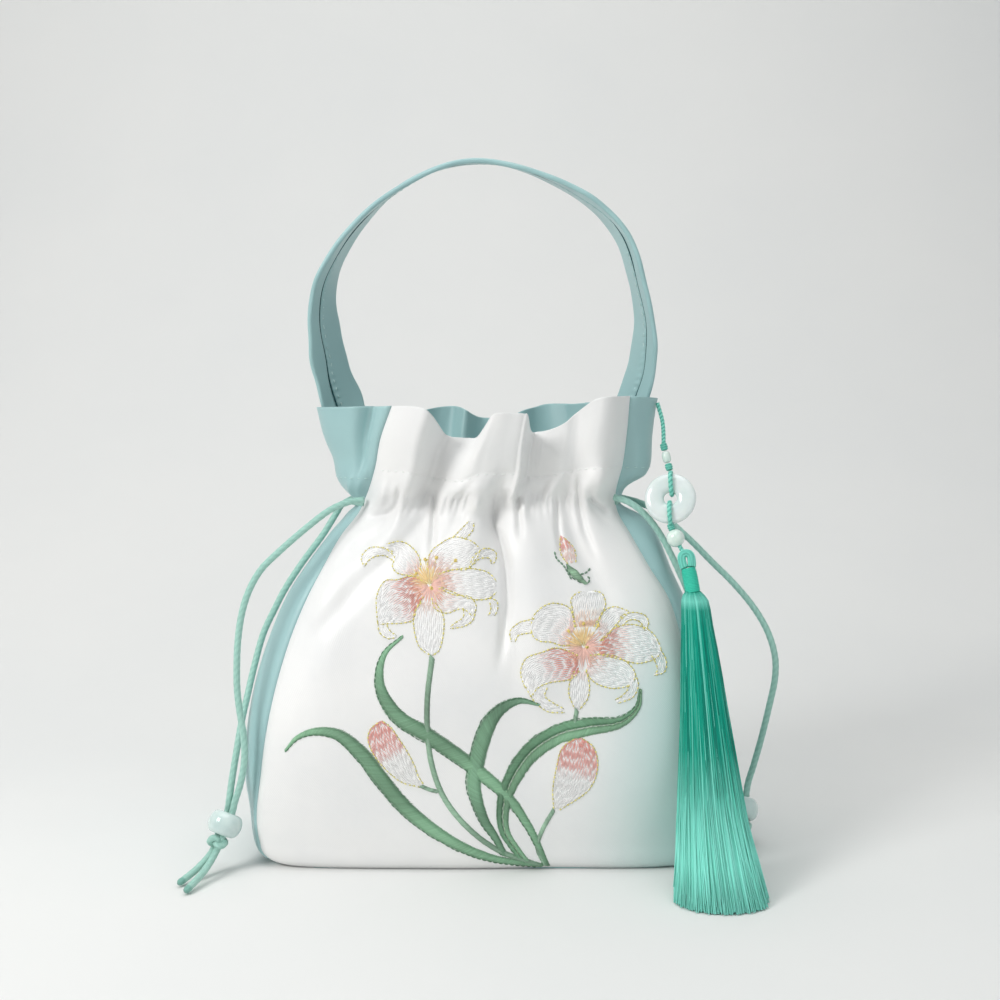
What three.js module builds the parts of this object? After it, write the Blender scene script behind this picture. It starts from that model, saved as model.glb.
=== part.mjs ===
// A satin drawstring purse: embroidered front, plain back, one gusset strip round the sides and base,
// a strap handle, two beaded drawstrings and a disc tassel.
// Millimetres, +Z up, +Y to the back. The origin is the centre of the base, on the table.

import * as THREE from 'three';

const { lerp, clamp, smoothstep } = THREE.MathUtils;

// Cloth and clearances
const WALL = 1.5;
const GAP = 0.3;
const SIDE_SEAM = 0.9;
const BASE_SEAM = WALL + GAP;
const CORNER_Z = 36;

// Heights of the drawstring channel and of the frill's edge
const NECK_Z = 163;
const TOP_Z = 205;

// Level sections of the bag. half and depth are the half sizes across X and Y, power is the squareness of
// the corners, and the last four columns are the X of the panels' side edges.
const SECTIONS = [
  { z: 0, half: 93.5, depth: 44, power: 9, frontLeft: -90, frontRight: 90, backLeft: -90, backRight: 90 },
  { z: 3, half: 100, depth: 46.5, power: 8.5, frontLeft: -96, frontRight: 96, backLeft: -96, backRight: 96 },
  { z: 12, half: 107, depth: 48, power: 7.5, frontLeft: -102, frontRight: 102, backLeft: -102, backRight: 102 },
  { z: 45, half: 109.5, depth: 49, power: 5.2, frontLeft: -101, frontRight: 101, backLeft: -101, backRight: 101 },
  { z: 75, half: 106, depth: 47.5, power: 3.8, frontLeft: -95, frontRight: 95, backLeft: -95, backRight: 95 },
  { z: 100, half: 98.5, depth: 44, power: 3.2, frontLeft: -87, frontRight: 87, backLeft: -87, backRight: 87 },
  { z: 118, half: 90.5, depth: 40, power: 2.9, frontLeft: -79, frontRight: 81, backLeft: -80, backRight: 80 },
  { z: 131, half: 82, depth: 36, power: 2.7, frontLeft: -71, frontRight: 74, backLeft: -72, backRight: 72 },
  { z: 145, half: 71.5, depth: 31, power: 2.5, frontLeft: -63, frontRight: 67, backLeft: -64, backRight: 64 },
  { z: 156, half: 63.5, depth: 26, power: 2.3, frontLeft: -56, frontRight: 60, backLeft: -57, backRight: 57 },
  { z: 163, half: 63, depth: 24.5, power: 2.2, frontLeft: -53.5, frontRight: 58, backLeft: -55, backRight: 55 },
  { z: 176, half: 70, depth: 28, power: 2.1, frontLeft: -49.5, frontRight: 61, backLeft: -54, backRight: 54 },
  { z: 190, half: 76, depth: 31.5, power: 2, frontLeft: -47, frontRight: 63.5, backLeft: -52, backRight: 51 },
  { z: 205, half: 79.5, depth: 34, power: 2, frontLeft: -42, frontRight: 65, backLeft: -48, backRight: 48 },
];

// Crests and hollows along the frill's edge: share of the panel's width, how far the cloth stands out there,
// and the height of its edge.
const FRONT_EDGE = [
  { across: 0, out: 0, z: 204.5 },
  { across: 0.1, out: 5.5, z: 205.5 },
  { across: 0.18, out: 3, z: 203 },
  { across: 0.24, out: -5, z: 193 },
  { across: 0.3, out: -7.5, z: 190.5 },
  { across: 0.36, out: -4, z: 192 },
  { across: 0.43, out: 4, z: 200.5 },
  { across: 0.51, out: 6.5, z: 202 },
  { across: 0.57, out: 3, z: 200.5 },
  { across: 0.62, out: -5.5, z: 193.5 },
  { across: 0.68, out: -6.5, z: 193.5 },
  { across: 0.76, out: -2, z: 198.5 },
  { across: 0.86, out: 4, z: 206.5 },
  { across: 1, out: 0, z: 208 },
];
const BACK_EDGE = [
  { across: 0, out: 0, z: 206 },
  { across: 0.15, out: 4, z: 205 },
  { across: 0.33, out: -5, z: 201 },
  { across: 0.5, out: 4, z: 203.5 },
  { across: 0.66, out: -5, z: 201 },
  { across: 0.85, out: 4, z: 204 },
  { across: 1, out: 0, z: 204.5 },
];

// Folds that run down from the channel: place on the channel, drift to the right on the way down, depth,
// half width and length.
const FRONT_FOLDS = [
  { across: 0.14, drift: 0.01, out: 2, width: 0.05, reach: 30 },
  { across: 0.27, drift: 0.03, out: -2.5, width: 0.04, reach: 38 },
  { across: 0.42, drift: 0.05, out: 2.6, width: 0.06, reach: 55 },
  { across: 0.52, drift: 0.05, out: -3.4, width: 0.04, reach: 70 },
  { across: 0.64, drift: 0.03, out: 2.2, width: 0.05, reach: 40 },
  { across: 0.79, drift: 0.02, out: -2.4, width: 0.04, reach: 36 },
];
const BACK_FOLDS = [
  { across: 0.3, drift: 0, out: -2.5, width: 0.06, reach: 50 },
  { across: 0.5, drift: 0, out: 2.5, width: 0.07, reach: 45 },
  { across: 0.7, drift: 0, out: -2.5, width: 0.06, reach: 50 },
];
const GATHERS = { count: 7, out: 1.3, spread: 11 };

// Pleats in the gussets, and the right one's fullness under the channel: side (-1 left, 1 right), place
// between the front and back seams, how far out, half width, height of the middle and half height.
const PLEATS = [
  { side: -1, across: 0.13, out: -4, width: 0.07, z: 205, spread: 26 },
  { side: -1, across: 0.45, out: -3, width: 0.16, z: NECK_Z, spread: 9 },
  { side: 1, across: 0.5, out: -3, width: 0.16, z: NECK_Z, spread: 9 },
  { side: 1, across: 0.5, out: 7.5, width: 0.38, z: 146, spread: 9 },
];

// Grid of each cloth piece
const FRONT_GRID = { columns: 40, body: 12, frill: 8 };
const BACK_GRID = { columns: 24, body: 12, frill: 4 };
const GUSSET_GRID = { columns: 8, body: 12, frill: 4, base: 10, outline: 16 };

// Strap handle: width, thickness, and the line of its middle with the turn of its face in degrees
const STRAP = { width: 23, thickness: 3, steps: 40, columns: 2 };
const STRAP_LINE = [
  { x: -61.3, y: 9.8, z: 186, turn: 50 },
  { x: -65.7, y: 11.2, z: 205, turn: 50 },
  { x: -71, y: 8, z: 224, turn: 42 },
  { x: -74.3, y: 4, z: 247, turn: 25 },
  { x: -71, y: 2, z: 264, turn: 11 },
  { x: -61, y: 1, z: 281, turn: 4 },
  { x: -43.5, y: 0, z: 298.5, turn: -5 },
  { x: -22, y: 0, z: 310.5, turn: -9 },
  { x: 0, y: 0, z: 313.5, turn: -8 },
  { x: 23, y: 0, z: 308.5, turn: -4 },
  { x: 47, y: 0, z: 296.5, turn: 3 },
  { x: 62, y: 1, z: 281.5, turn: 6 },
  { x: 69.3, y: 3, z: 262, turn: 10 },
  { x: 73.3, y: 5, z: 242, turn: 17 },
  { x: 72, y: 8, z: 222, turn: 27 },
  { x: 66.9, y: 8.7, z: 205, turn: 34 },
  { x: 62.2, y: 7.6, z: 186, turn: 42 },
];

// Drawstrings. A bead's axis points from the strands down to the knot, and spread is half the distance
// between its two strands. The routes run from the channel to just above the bead.
const CORD = { radius: 1.5, sides: 8, steps: 18, tailSteps: 2, crossingSteps: 7 };
const BEAD = { radius: 7.5, height: 10, hole: 3.5, spread: 1.75 };
const KNOT = { radius: 4.6, height: 6 };
const CROSSING_Z = 167.5;
const DRAWSTRINGS = [
  {
    side: 'left',
    sign: -1,
    bead: [-113.9, -46, 21.2],
    axis: [-0.34, -0.36, -0.87],
    outer: [
      [-54.5, -16.6, 161.5], [-61, -19.5, 160.8], [-69, -23.5, 157.5], [-79, -27, 150], [-90, -30, 140.5],
      [-98.6, -32, 132], [-103.7, -34, 123], [-106.6, -36, 113.5], [-108.2, -38, 102], [-108.6, -40, 90],
      [-108.4, -41, 80], [-107.2, -42, 70], [-105.6, -43, 60], [-105.2, -44, 50], [-107, -44.8, 39],
      [-109.6, -44.8, 31],
    ],
    inner: [
      [-54.5, 17.2, 160.5], [-61.5, 14, 159.5], [-66.9, 7.5, 157], [-69.4, 1, 153.5], [-76.9, -3.5, 144],
      [-85.2, -6, 132], [-92.9, -8, 119.5], [-97.6, -9, 110], [-101.6, -11, 99.5], [-105, -16, 86],
      [-107.2, -23, 73.5], [-108.8, -30, 63], [-110, -37, 51], [-111.4, -41.5, 39.5], [-112.3, -43, 32],
    ],
    tails: [
      [[-117.3, -51.5, 9.9], [-120.5, -60.5, 5], [-125.3, -75.3, 1.7]],
      [[-119.1, -49, 9.9], [-124, -56.5, 5], [-130.3, -66.4, 1.7]],
    ],
  },
  {
    side: 'right',
    sign: 1,
    bead: [119.7, -10, 16.2],
    axis: [-0.1, -0.5, -0.86],
    outer: [
      [56, 17, 160.5], [64.5, 14, 159.5], [73, 9, 157.5], [82, 6, 152.8], [95, 2, 141.5], [106, 0, 130.5],
      [115.6, -2, 121], [124.7, -4, 110], [131, -6, 99], [134.1, -8, 88], [134.1, -9, 78], [131.8, -9.5, 66],
      [128.4, -9, 50], [125.4, -7.5, 37], [123, -6, 27],
    ],
    inner: [
      [58.5, -14.6, 162.5], [64, -16.6, 161], [69.5, -16.8, 157.5], [75, -16.5, 152], [80, -16.2, 145],
      [86, -16.5, 133.5], [94.2, -15.5, 115.5], [103.4, -13, 92], [108, -12, 76], [111, -10, 60],
      [114, -8, 45], [116.6, -6, 34], [118, -5.4, 27],
    ],
    tails: [
      [[120.2, -16.9, 5.7], [119.4, -28, 3.2], [117, -44, 1.7]],
      [[116.5, -16.6, 5.8], [114.6, -27, 3.2], [111.3, -41, 1.7]],
    ],
  },
];

// Disc tassel: where each piece of the pendant hangs, from the frill's right corner down
const THREAD = { radius: 0.9, sides: 8 };
const PENDANT = {
  start: [78.65, -6.5, 204.8],
  bend: [80.9, -8.5, 196],
  upperKnot: [81.2, -12, 185.1],
  tubeBead: [82.2, -13.4, 180.6],
  middleKnot: [83.2, -14.8, 176.2],
  disc: [83.4, -20, 162.4],
  lowerKnot: [83.4, -24.7, 148.8],
  roundBead: [84.6, -26.6, 143.5],
  cap: [88.6, -30.4, 135.2],
  neck: [90.6, -33.4, 126],
};
const SMALL_KNOT = { radius: 2, height: 3 };
const TUBE_BEAD = { radius: 1.9, length: 5.3 };
const DISC = { radius: 11.5, hole: 2.4, thickness: 5, turn: -0.2 };
const DISC_LOOP = { face: 3.9, hole: 1.15, reach: 12.7, steps: 16 };
const ROUND_BEAD = { radius: 4 };
const LINK = { length: 1.6, radius: 0.9 };
const CAP = { radius: 4.7, height: 7.6 };
const TASSEL_NECK = { radius: 4.2, length: 11 };
const SKIRT = { sides: 20, flatness: 0.74 };
const SKIRT_ROWS = [
  { z: 118.8, x: 91.6, y: -35.6, radius: 4.6 },
  { z: 112, x: 91.8, y: -37, radius: 6.6 },
  { z: 95, x: 92.8, y: -41, radius: 9 },
  { z: 75, x: 94, y: -46.5, radius: 10.4 },
  { z: 52, x: 95, y: -55, radius: 12.4 },
  { z: 30, x: 96.2, y: -66.5, radius: 14.8 },
  { z: 13, x: 97.6, y: -76, radius: 17.4 },
  { z: 0.4, x: 98.8, y: -82.5, radius: 19.6 },
];

// Colours and finishes
const FINISHES = {
  whiteSatin: { color: 0xf4f4f2, roughness: 0.45, metalness: 0 },
  aquaSatin: { color: 0x9cc4c2, roughness: 0.42, metalness: 0 },
  mintCord: { color: 0xa9d8c5, roughness: 0.5, metalness: 0 },
  porcelain: { color: 0xc3d2d6, roughness: 0.12, metalness: 0 },
  jade: { color: 0xeef3f2, roughness: 0.15, metalness: 0 },
  paleJade: { color: 0xcfe6d8, roughness: 0.15, metalness: 0 },
  tealSilk: { color: 0x22a888, roughness: 0.4, metalness: 0 },
};

const UP = new THREE.Vector3(0, 1, 0);
const purse = new THREE.Group();

// Adds a named piece in its own finish to the purse.
function addPiece(name, geometry, finish) {
  const mesh = new THREE.Mesh(geometry, new THREE.MeshStandardMaterial(FINISHES[finish]));
  mesh.name = name;
  purse.add(mesh);
  return mesh;
}

// Places a turned piece: its own Y axis follows the given direction.
function seat(mesh, centre, direction) {
  mesh.position.copy(centre);
  mesh.quaternion.setFromUnitVectors(UP, direction.clone().normalize());
  return mesh;
}

// Smooth curve through a table's rows, read by the named key column.
function tableCurve(rows, key) {
  const columns = Object.keys(rows[0]).filter((name) => name !== key);
  const values = rows.flatMap((row) => columns.map((name) => row[name]));
  const curve = new THREE.CubicInterpolant(rows.map((row) => row[key]), values, columns.length);
  return (t) => {
    const sample = curve.evaluate(t);
    return Object.fromEntries(columns.map((name, i) => [name, sample[i]]));
  };
}

const sectionAt = tableCurve(SECTIONS, 'z');

// Half depth of a section's outline at x, and half width of it at y.
function outlineY(x, { half, depth, power }) {
  const share = Math.min(Math.abs(x) / half, 1);
  return depth * (1 - share ** power) ** (1 / power);
}
function outlineX(y, { half, depth, power }) {
  const share = Math.min(Math.abs(y) / depth, 1);
  return half * (1 - share ** power) ** (1 / power);
}

// Bell of height 1 that falls to nothing over a few widths.
function bell(distance, width) {
  return Math.exp(-((distance / width) ** 2));
}

// Heights of a cloth piece's rows: closer together at the base corner and in the frill.
function levels({ body, frill }) {
  const lower = Array.from({ length: body }, (_, i) => NECK_Z * (i / body) ** 1.35);
  const upper = Array.from({ length: frill + 1 }, (_, i) => lerp(NECK_Z, TOP_Z, i / frill));
  return [...lower, ...upper];
}

// Share of the frill's height, 0 at the channel and 1 at the edge.
function frillShare(level) {
  return clamp((level - NECK_Z) / (TOP_Z - NECK_Z), 0, 1);
}

// Closed sheet under a grid of outer points. Columns cross rows so that their product points out.
function sheet(grid, thickness) {
  const rows = grid.length - 1;
  const columns = grid[0].length - 1;
  const geometry = new THREE.BoxGeometry(1, 1, 1, columns, rows, 1);
  const position = geometry.attributes.position;
  for (let i = 0; i < position.count; i++) {
    const column = Math.round((position.getX(i) + 0.5) * columns);
    const row = Math.round((position.getY(i) + 0.5) * rows);
    const point = grid[row][column].clone();
    if (position.getZ(i) < 0) {
      point.addScaledVector(gridNormal(grid, row, column), -thickness);
    }
    position.setXYZ(i, point.x, point.y, point.z);
  }
  return geometry;
}

// Outward normal of a grid point, from its neighbours.
function gridNormal(grid, row, column) {
  const lastRow = grid.length - 1;
  const lastColumn = grid[0].length - 1;
  const along = grid[row][Math.min(column + 1, lastColumn)].clone();
  along.sub(grid[row][Math.max(column - 1, 0)]);
  const up = grid[Math.min(row + 1, lastRow)][column].clone();
  up.sub(grid[Math.max(row - 1, 0)][column]);
  return along.cross(up).normalize();
}

// Round tube along a smooth line.
function tube(points, { radius, sides }, steps) {
  const corners = Array.from({ length: sides }, (_, i) => {
    const angle = (2 * Math.PI * i) / sides;
    return new THREE.Vector2(radius * Math.cos(angle), radius * Math.sin(angle));
  });
  const extrudePath = new THREE.CatmullRomCurve3(points);
  return new THREE.ExtrudeGeometry(new THREE.Shape(corners), { steps, bevelEnabled: false, extrudePath });
}

// Flattened ball: a tied knot, a bead or the head of the tassel.
function ball(radius, height, around = 14, up = 8) {
  return new THREE.SphereGeometry(1, around, up).scale(radius, height / 2, radius);
}

const vector = (row) => new THREE.Vector3(...row);

// Front and back panels. The back one is worked out in a frame turned half round.
const FRONT = {
  turn: 1,
  edge: tableCurve(FRONT_EDGE, 'across'),
  folds: FRONT_FOLDS,
  seams: (section) => [section.frontLeft, section.frontRight],
};
const BACK = {
  turn: -1,
  edge: tableCurve(BACK_EDGE, 'across'),
  folds: BACK_FOLDS,
  seams: (section) => [-section.backRight, -section.backLeft],
};

// How far the cloth stands out from the plain section, from its frill, gathers and folds.
function standOut(panel, across, level) {
  let out = panel.edge(across).out * smoothstep(level, NECK_Z, TOP_Z);
  out += GATHERS.out * Math.sin(2 * Math.PI * GATHERS.count * across) * bell(level - NECK_Z, GATHERS.spread);
  for (const fold of panel.folds) {
    const below = Math.max(NECK_Z - level, 0);
    const middle = fold.across + fold.drift * (below / fold.reach);
    const fade = level > NECK_Z ? bell(level - NECK_Z, GATHERS.spread) : bell(below, fold.reach);
    out += fold.out * bell(across - middle, fold.width) * fade;
  }
  return out;
}

function panelPoint(panel, across, level) {
  const section = sectionAt(level);
  const [left, right] = panel.seams(section);
  const x = lerp(left, right, across);
  const y = -outlineY(x, section) - standOut(panel, across, level);
  const z = level + frillShare(level) * (panel.edge(across).z - TOP_Z);
  return new THREE.Vector3(x * panel.turn, y * panel.turn, z);
}

function panelGrid(panel, size) {
  const shares = Array.from({ length: size.columns + 1 }, (_, i) => i / size.columns);
  return levels(size).map((level) => shares.map((across) => panelPoint(panel, across, level)));
}

// Gusset strip: one row of it runs from the front seam to the back seam.
function gussetOutline(level, side) {
  const section = sectionAt(level);
  const [front, back] = side < 0
    ? [section.frontLeft, section.backLeft]
    : [section.frontRight, section.backRight];
  const count = GUSSET_GRID.outline;
  const points = Array.from({ length: count + 1 }, (_, i) => {
    const y = lerp(-outlineY(front, section), outlineY(back, section), i / count);
    return new THREE.Vector2(side * outlineX(y, section), y);
  });
  return new THREE.SplineCurve(points);
}

function gussetRow(level, side) {
  const outline = gussetOutline(level, side);
  const seam = lerp(BASE_SEAM, SIDE_SEAM, smoothstep(level, 0, CORNER_Z));
  const trim = seam / outline.getLength();
  const [frontZ, backZ] = side < 0
    ? [FRONT.edge(0).z, BACK.edge(1).z]
    : [FRONT.edge(1).z, BACK.edge(0).z];
  return Array.from({ length: GUSSET_GRID.columns + 1 }, (_, i) => {
    const across = i / GUSSET_GRID.columns;
    const share = lerp(trim, 1 - trim, across);
    const point = outline.getPointAt(share);
    const tangent = outline.getTangentAt(share);
    let out = 0;
    for (const pleat of PLEATS) {
      if (pleat.side === side) {
        out += pleat.out * bell(across - pleat.across, pleat.width) * bell(level - pleat.z, pleat.spread);
      }
    }
    const z = level + frillShare(level) * (lerp(frontZ, backZ, across) - TOP_Z);
    return new THREE.Vector3(point.x + side * tangent.y * out, point.y - side * tangent.x * out, z);
  });
}

// Rows of the base between the two sides, flat on the table.
function baseRows() {
  const section = sectionAt(0);
  const left = gussetRow(0, -1);
  const right = gussetRow(0, 1);
  const rows = [];
  for (let i = 1; i < GUSSET_GRID.base; i++) {
    const share = i / GUSSET_GRID.base;
    const edgeX = lerp(left[0].x, right[0].x, share);
    const widen = (outlineY(edgeX, section) - BASE_SEAM) / -left[0].y;
    rows.push(left.map((point, c) => new THREE.Vector3(lerp(point.x, right[c].x, share), point.y * widen, 0)));
  }
  return rows;
}

function gussetGrid() {
  const rising = levels(GUSSET_GRID);
  const leftSide = [...rising].reverse().map((level) => gussetRow(level, -1));
  const rightSide = rising.map((level) => gussetRow(level, 1));
  return [...leftSide, ...baseRows(), ...rightSide];
}

// Strap handle: its face turns about its own line, the front edge outwards.
function strapGrid() {
  const line = new THREE.CatmullRomCurve3(STRAP_LINE.map(({ x, y, z }) => new THREE.Vector3(x, y, z)));
  const rows = [];
  for (let i = 0; i <= STRAP.steps; i++) {
    const share = i / STRAP.steps;
    const place = share * (STRAP_LINE.length - 1);
    const row = Math.min(Math.floor(place), STRAP_LINE.length - 2);
    const turn = THREE.MathUtils.degToRad(lerp(STRAP_LINE[row].turn, STRAP_LINE[row + 1].turn, place - row));
    const centre = line.getPoint(share);
    const tangent = line.getTangent(share);
    const outward = new THREE.Vector3(-tangent.z, 0, tangent.x).normalize();
    const across = new THREE.Vector3(0, -Math.cos(turn), 0).addScaledVector(outward, Math.sin(turn));
    const face = across.clone().cross(tangent).normalize();
    rows.push(Array.from({ length: STRAP.columns + 1 }, (_, c) => {
      const offset = STRAP.width * (c / STRAP.columns - 0.5);
      return centre.clone().addScaledVector(across, offset).addScaledVector(face, STRAP.thickness / 2);
    }));
  }
  return rows;
}

// One drawstring: two strands through a bead into a knot, and their tails.
function addDrawstring({ side, sign, bead, axis, outer, inner, tails }) {
  const down = vector(axis).normalize();
  const centre = vector(bead);
  const apart = new THREE.Vector3(down.y, -down.x, 0).setLength(BEAD.spread);
  const strands = [['outer', outer, -1], ['inner', inner, 1]];
  strands.forEach(([place, route, way], i) => {
    const shift = apart.clone().multiplyScalar(way);
    const entry = centre.clone().addScaledVector(down, -BEAD.height / 2).add(shift);
    const leaving = centre.clone().addScaledVector(down, BEAD.height / 2).add(shift);
    const points = [...route.map(vector), entry, leaving];
    addPiece(`drawstring_${side}_${place}`, tube(points, CORD, CORD.steps), 'mintCord');
    addPiece(`drawstring_${side}_tail_${place}`, tube(tails[i].map(vector), CORD, CORD.tailSteps), 'mintCord');
  });
  const bulge = new THREE.EllipseCurve(
    BEAD.hole, 0, BEAD.radius - BEAD.hole, BEAD.height / 2, -Math.PI / 2, Math.PI / 2,
  );
  const profile = bulge.getPoints(10);
  profile.push(profile[0].clone());
  seat(addPiece(`bead_${side}`, new THREE.LatheGeometry(profile, 20), 'porcelain'), centre, down);
  const knotPlace = centre.clone().addScaledVector(down, BEAD.height / 2 + GAP + KNOT.height / 2);
  seat(addPiece(`knot_${side}`, ball(KNOT.radius, KNOT.height), 'mintCord'), knotPlace, down);
  const outline = gussetOutline(CROSSING_Z, sign);
  const clear = CORD.radius + 3 * GAP;
  const crossing = Array.from({ length: 9 }, (_, i) => {
    const point = outline.getPointAt(i / 8);
    const tangent = outline.getTangentAt(i / 8);
    return new THREE.Vector3(point.x + sign * tangent.y * clear, point.y - sign * tangent.x * clear, CROSSING_Z);
  });
  addPiece(`drawstring_${side}_crossing`, tube(crossing, CORD, CORD.crossingSteps), 'mintCord');
}

// The pendant, from its thread at the frill's corner to the skirt of the tassel.
function addPendant() {
  const at = Object.fromEntries(Object.entries(PENDANT).map(([name, row]) => [name, vector(row)]));
  const toward = (from, to) => at[to].clone().sub(at[from]).normalize();
  const knotEnd = SMALL_KNOT.height / 2 + GAP;
  const hang = toward('bend', 'upperKnot');
  const threadEnd = at.upperKnot.clone().addScaledVector(hang, -knotEnd);
  addPiece('pendant_thread', tube([at.start, at.bend, threadEnd], THREAD, 6), 'tealSilk');

  const beadLine = toward('upperKnot', 'middleKnot');
  for (const name of ['upperKnot', 'middleKnot', 'lowerKnot']) {
    const piece = addPiece(`pendant_${name.replace('K', '_k')}`, ball(SMALL_KNOT.radius, SMALL_KNOT.height, 12, 6));
    seat(piece, at[name], name === 'lowerKnot' ? toward('lowerKnot', 'roundBead') : beadLine);
    piece.material.setValues(FINISHES.tealSilk);
  }
  const tubeBead = new THREE.CapsuleGeometry(TUBE_BEAD.radius, TUBE_BEAD.length - 2 * TUBE_BEAD.radius, 4, 12);
  seat(addPiece('pendant_tube_bead', tubeBead, 'paleJade'), at.tubeBead, beadLine);

  const discDown = toward('middleKnot', 'lowerKnot');
  const discFace = new THREE.Vector3(Math.sin(DISC.turn), -Math.cos(DISC.turn), 0);
  discFace.addScaledVector(discDown, -discFace.dot(discDown)).normalize();
  const ring = new THREE.EllipseCurve(
    (DISC.radius + DISC.hole) / 2, 0, (DISC.radius - DISC.hole) / 2, DISC.thickness / 2, 0, 2 * Math.PI,
  );
  seat(addPiece('pendant_disc', new THREE.LatheGeometry(ring.getPoints(16), 28), 'jade'), at.disc, discFace);

  const { face, hole, reach, steps } = DISC_LOOP;
  const loopRows = [[1.1, reach], [face, reach - 3.4], [face, 6], [face - 1.2, 2.6], [0, hole]];
  for (const [name, way] of [['upper', -1], ['lower', 1]]) {
    const half = loopRows.map(([out, along]) => [out, along]);
    const whole = [...half, ...half.slice(0, -1).reverse().map(([out, along]) => [-out, along])];
    const points = whole.map(([out, along]) => (
      at.disc.clone().addScaledVector(discFace, out).addScaledVector(discDown, way * along)
    ));
    addPiece(`pendant_loop_${name}`, tube(points, THREAD, steps), 'tealSilk');
  }

  seat(
    addPiece('pendant_round_bead', ball(ROUND_BEAD.radius, 2 * ROUND_BEAD.radius, 16, 10), 'paleJade'),
    at.roundBead, toward('lowerKnot', 'roundBead'),
  );
  const linkLine = toward('roundBead', 'cap');
  const linkPlace = at.roundBead.clone().addScaledVector(linkLine, ROUND_BEAD.radius + GAP + LINK.length / 2);
  const link = new THREE.CylinderGeometry(LINK.radius, LINK.radius, LINK.length, THREAD.sides);
  seat(addPiece('tassel_link', link, 'tealSilk'), linkPlace, linkLine);
  const capLine = toward('cap', 'neck');
  seat(addPiece('tassel_cap', ball(CAP.radius, CAP.height, 16, 8), 'tealSilk'), at.cap, capLine);
  const { radius, length } = TASSEL_NECK;
  const neck = new THREE.CylinderGeometry(radius, radius, length, 16);
  seat(addPiece('tassel_neck', neck, 'tealSilk'), at.neck, capLine);

  const rows = SKIRT_ROWS.length - 1;
  const skirt = new THREE.CylinderGeometry(1, 1, 1, SKIRT.sides, rows);
  skirt.rotateX(Math.PI / 2);
  const position = skirt.attributes.position;
  for (let i = 0; i < position.count; i++) {
    const row = SKIRT_ROWS[Math.round((0.5 - position.getZ(i)) * rows)];
    const x = row.x + row.radius * position.getX(i);
    const y = row.y + row.radius * SKIRT.flatness * position.getY(i);
    position.setXYZ(i, x, y, row.z);
  }
  addPiece('tassel_skirt', skirt, 'tealSilk');
}

addPiece('front_panel', sheet(panelGrid(FRONT, FRONT_GRID), WALL), 'whiteSatin');
addPiece('back_panel', sheet(panelGrid(BACK, BACK_GRID), WALL), 'aquaSatin');
addPiece('gusset_strip', sheet(gussetGrid(), WALL), 'aquaSatin');
addPiece('handle_strap', sheet(strapGrid(), STRAP.thickness), 'aquaSatin');
DRAWSTRINGS.forEach(addDrawstring);
addPendant();

export default purse;
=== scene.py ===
"""Looks of a satin drawstring purse with a disc tassel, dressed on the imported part.

Sizes in the tables are millimetres in the part's frame: +Z up, the front facing -Y.
"""

import logging
import math
from collections.abc import Callable, Sequence
from dataclasses import dataclass
from enum import Enum

import bmesh
import bpy
import numpy as np
from mathutils import Matrix, Vector


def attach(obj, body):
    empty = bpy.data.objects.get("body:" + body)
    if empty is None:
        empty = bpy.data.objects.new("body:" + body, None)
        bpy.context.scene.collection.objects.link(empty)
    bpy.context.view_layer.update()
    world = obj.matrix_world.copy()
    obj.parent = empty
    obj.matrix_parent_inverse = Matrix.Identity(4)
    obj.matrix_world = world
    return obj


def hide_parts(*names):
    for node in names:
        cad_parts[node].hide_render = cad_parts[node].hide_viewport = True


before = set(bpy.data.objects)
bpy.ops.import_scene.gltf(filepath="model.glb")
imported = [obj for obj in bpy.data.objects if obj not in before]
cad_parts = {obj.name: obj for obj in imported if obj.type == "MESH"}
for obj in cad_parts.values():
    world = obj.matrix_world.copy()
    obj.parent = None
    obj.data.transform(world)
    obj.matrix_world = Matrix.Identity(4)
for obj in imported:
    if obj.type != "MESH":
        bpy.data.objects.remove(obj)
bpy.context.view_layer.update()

MM = 0.001
LOG = logging.getLogger("purse")

Rows = Sequence[Sequence[float]]
Place = tuple[float, float, float]
Colour = tuple[float, float, float, float]
Surface = Callable[[np.ndarray, np.ndarray], np.ndarray]


def tint(code: str) -> Colour:
    """Linear colour of a six-digit sRGB code.

    Args:
        code: the colour, such as "9cc4c2".

    Returns:
        Red, green, blue and an alpha of one.
    """
    parts = [int(code[at:at + 2], 16) / 255 for at in (0, 2, 4)]
    red, green, blue = (p / 12.92 if p <= 0.04045 else ((p + 0.055) / 1.055) ** 2.4 for p in parts)
    return red, green, blue, 1.0


def bell(distance: np.ndarray, width: float | np.ndarray) -> np.ndarray:
    """Smooth bump, one at distance zero."""
    return np.exp(-((distance / width) ** 2))


def ease(value: np.ndarray, low: float, high: float) -> np.ndarray:
    """Smooth step from zero at low to one at high."""
    share = np.clip((np.asarray(value, dtype=float) - low) / (high - low), 0.0, 1.0)
    return share * share * (3.0 - 2.0 * share)


def unit(vectors: np.ndarray) -> np.ndarray:
    """The vectors at a length of one."""
    return vectors / np.maximum(np.linalg.norm(vectors, axis=-1, keepdims=True), 1e-9)


def walk(line: np.ndarray) -> np.ndarray:
    """Length walked along a line at each of its points."""
    return np.concatenate([[0.0], np.cumsum(np.linalg.norm(np.diff(line, axis=0), axis=1))])


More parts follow.
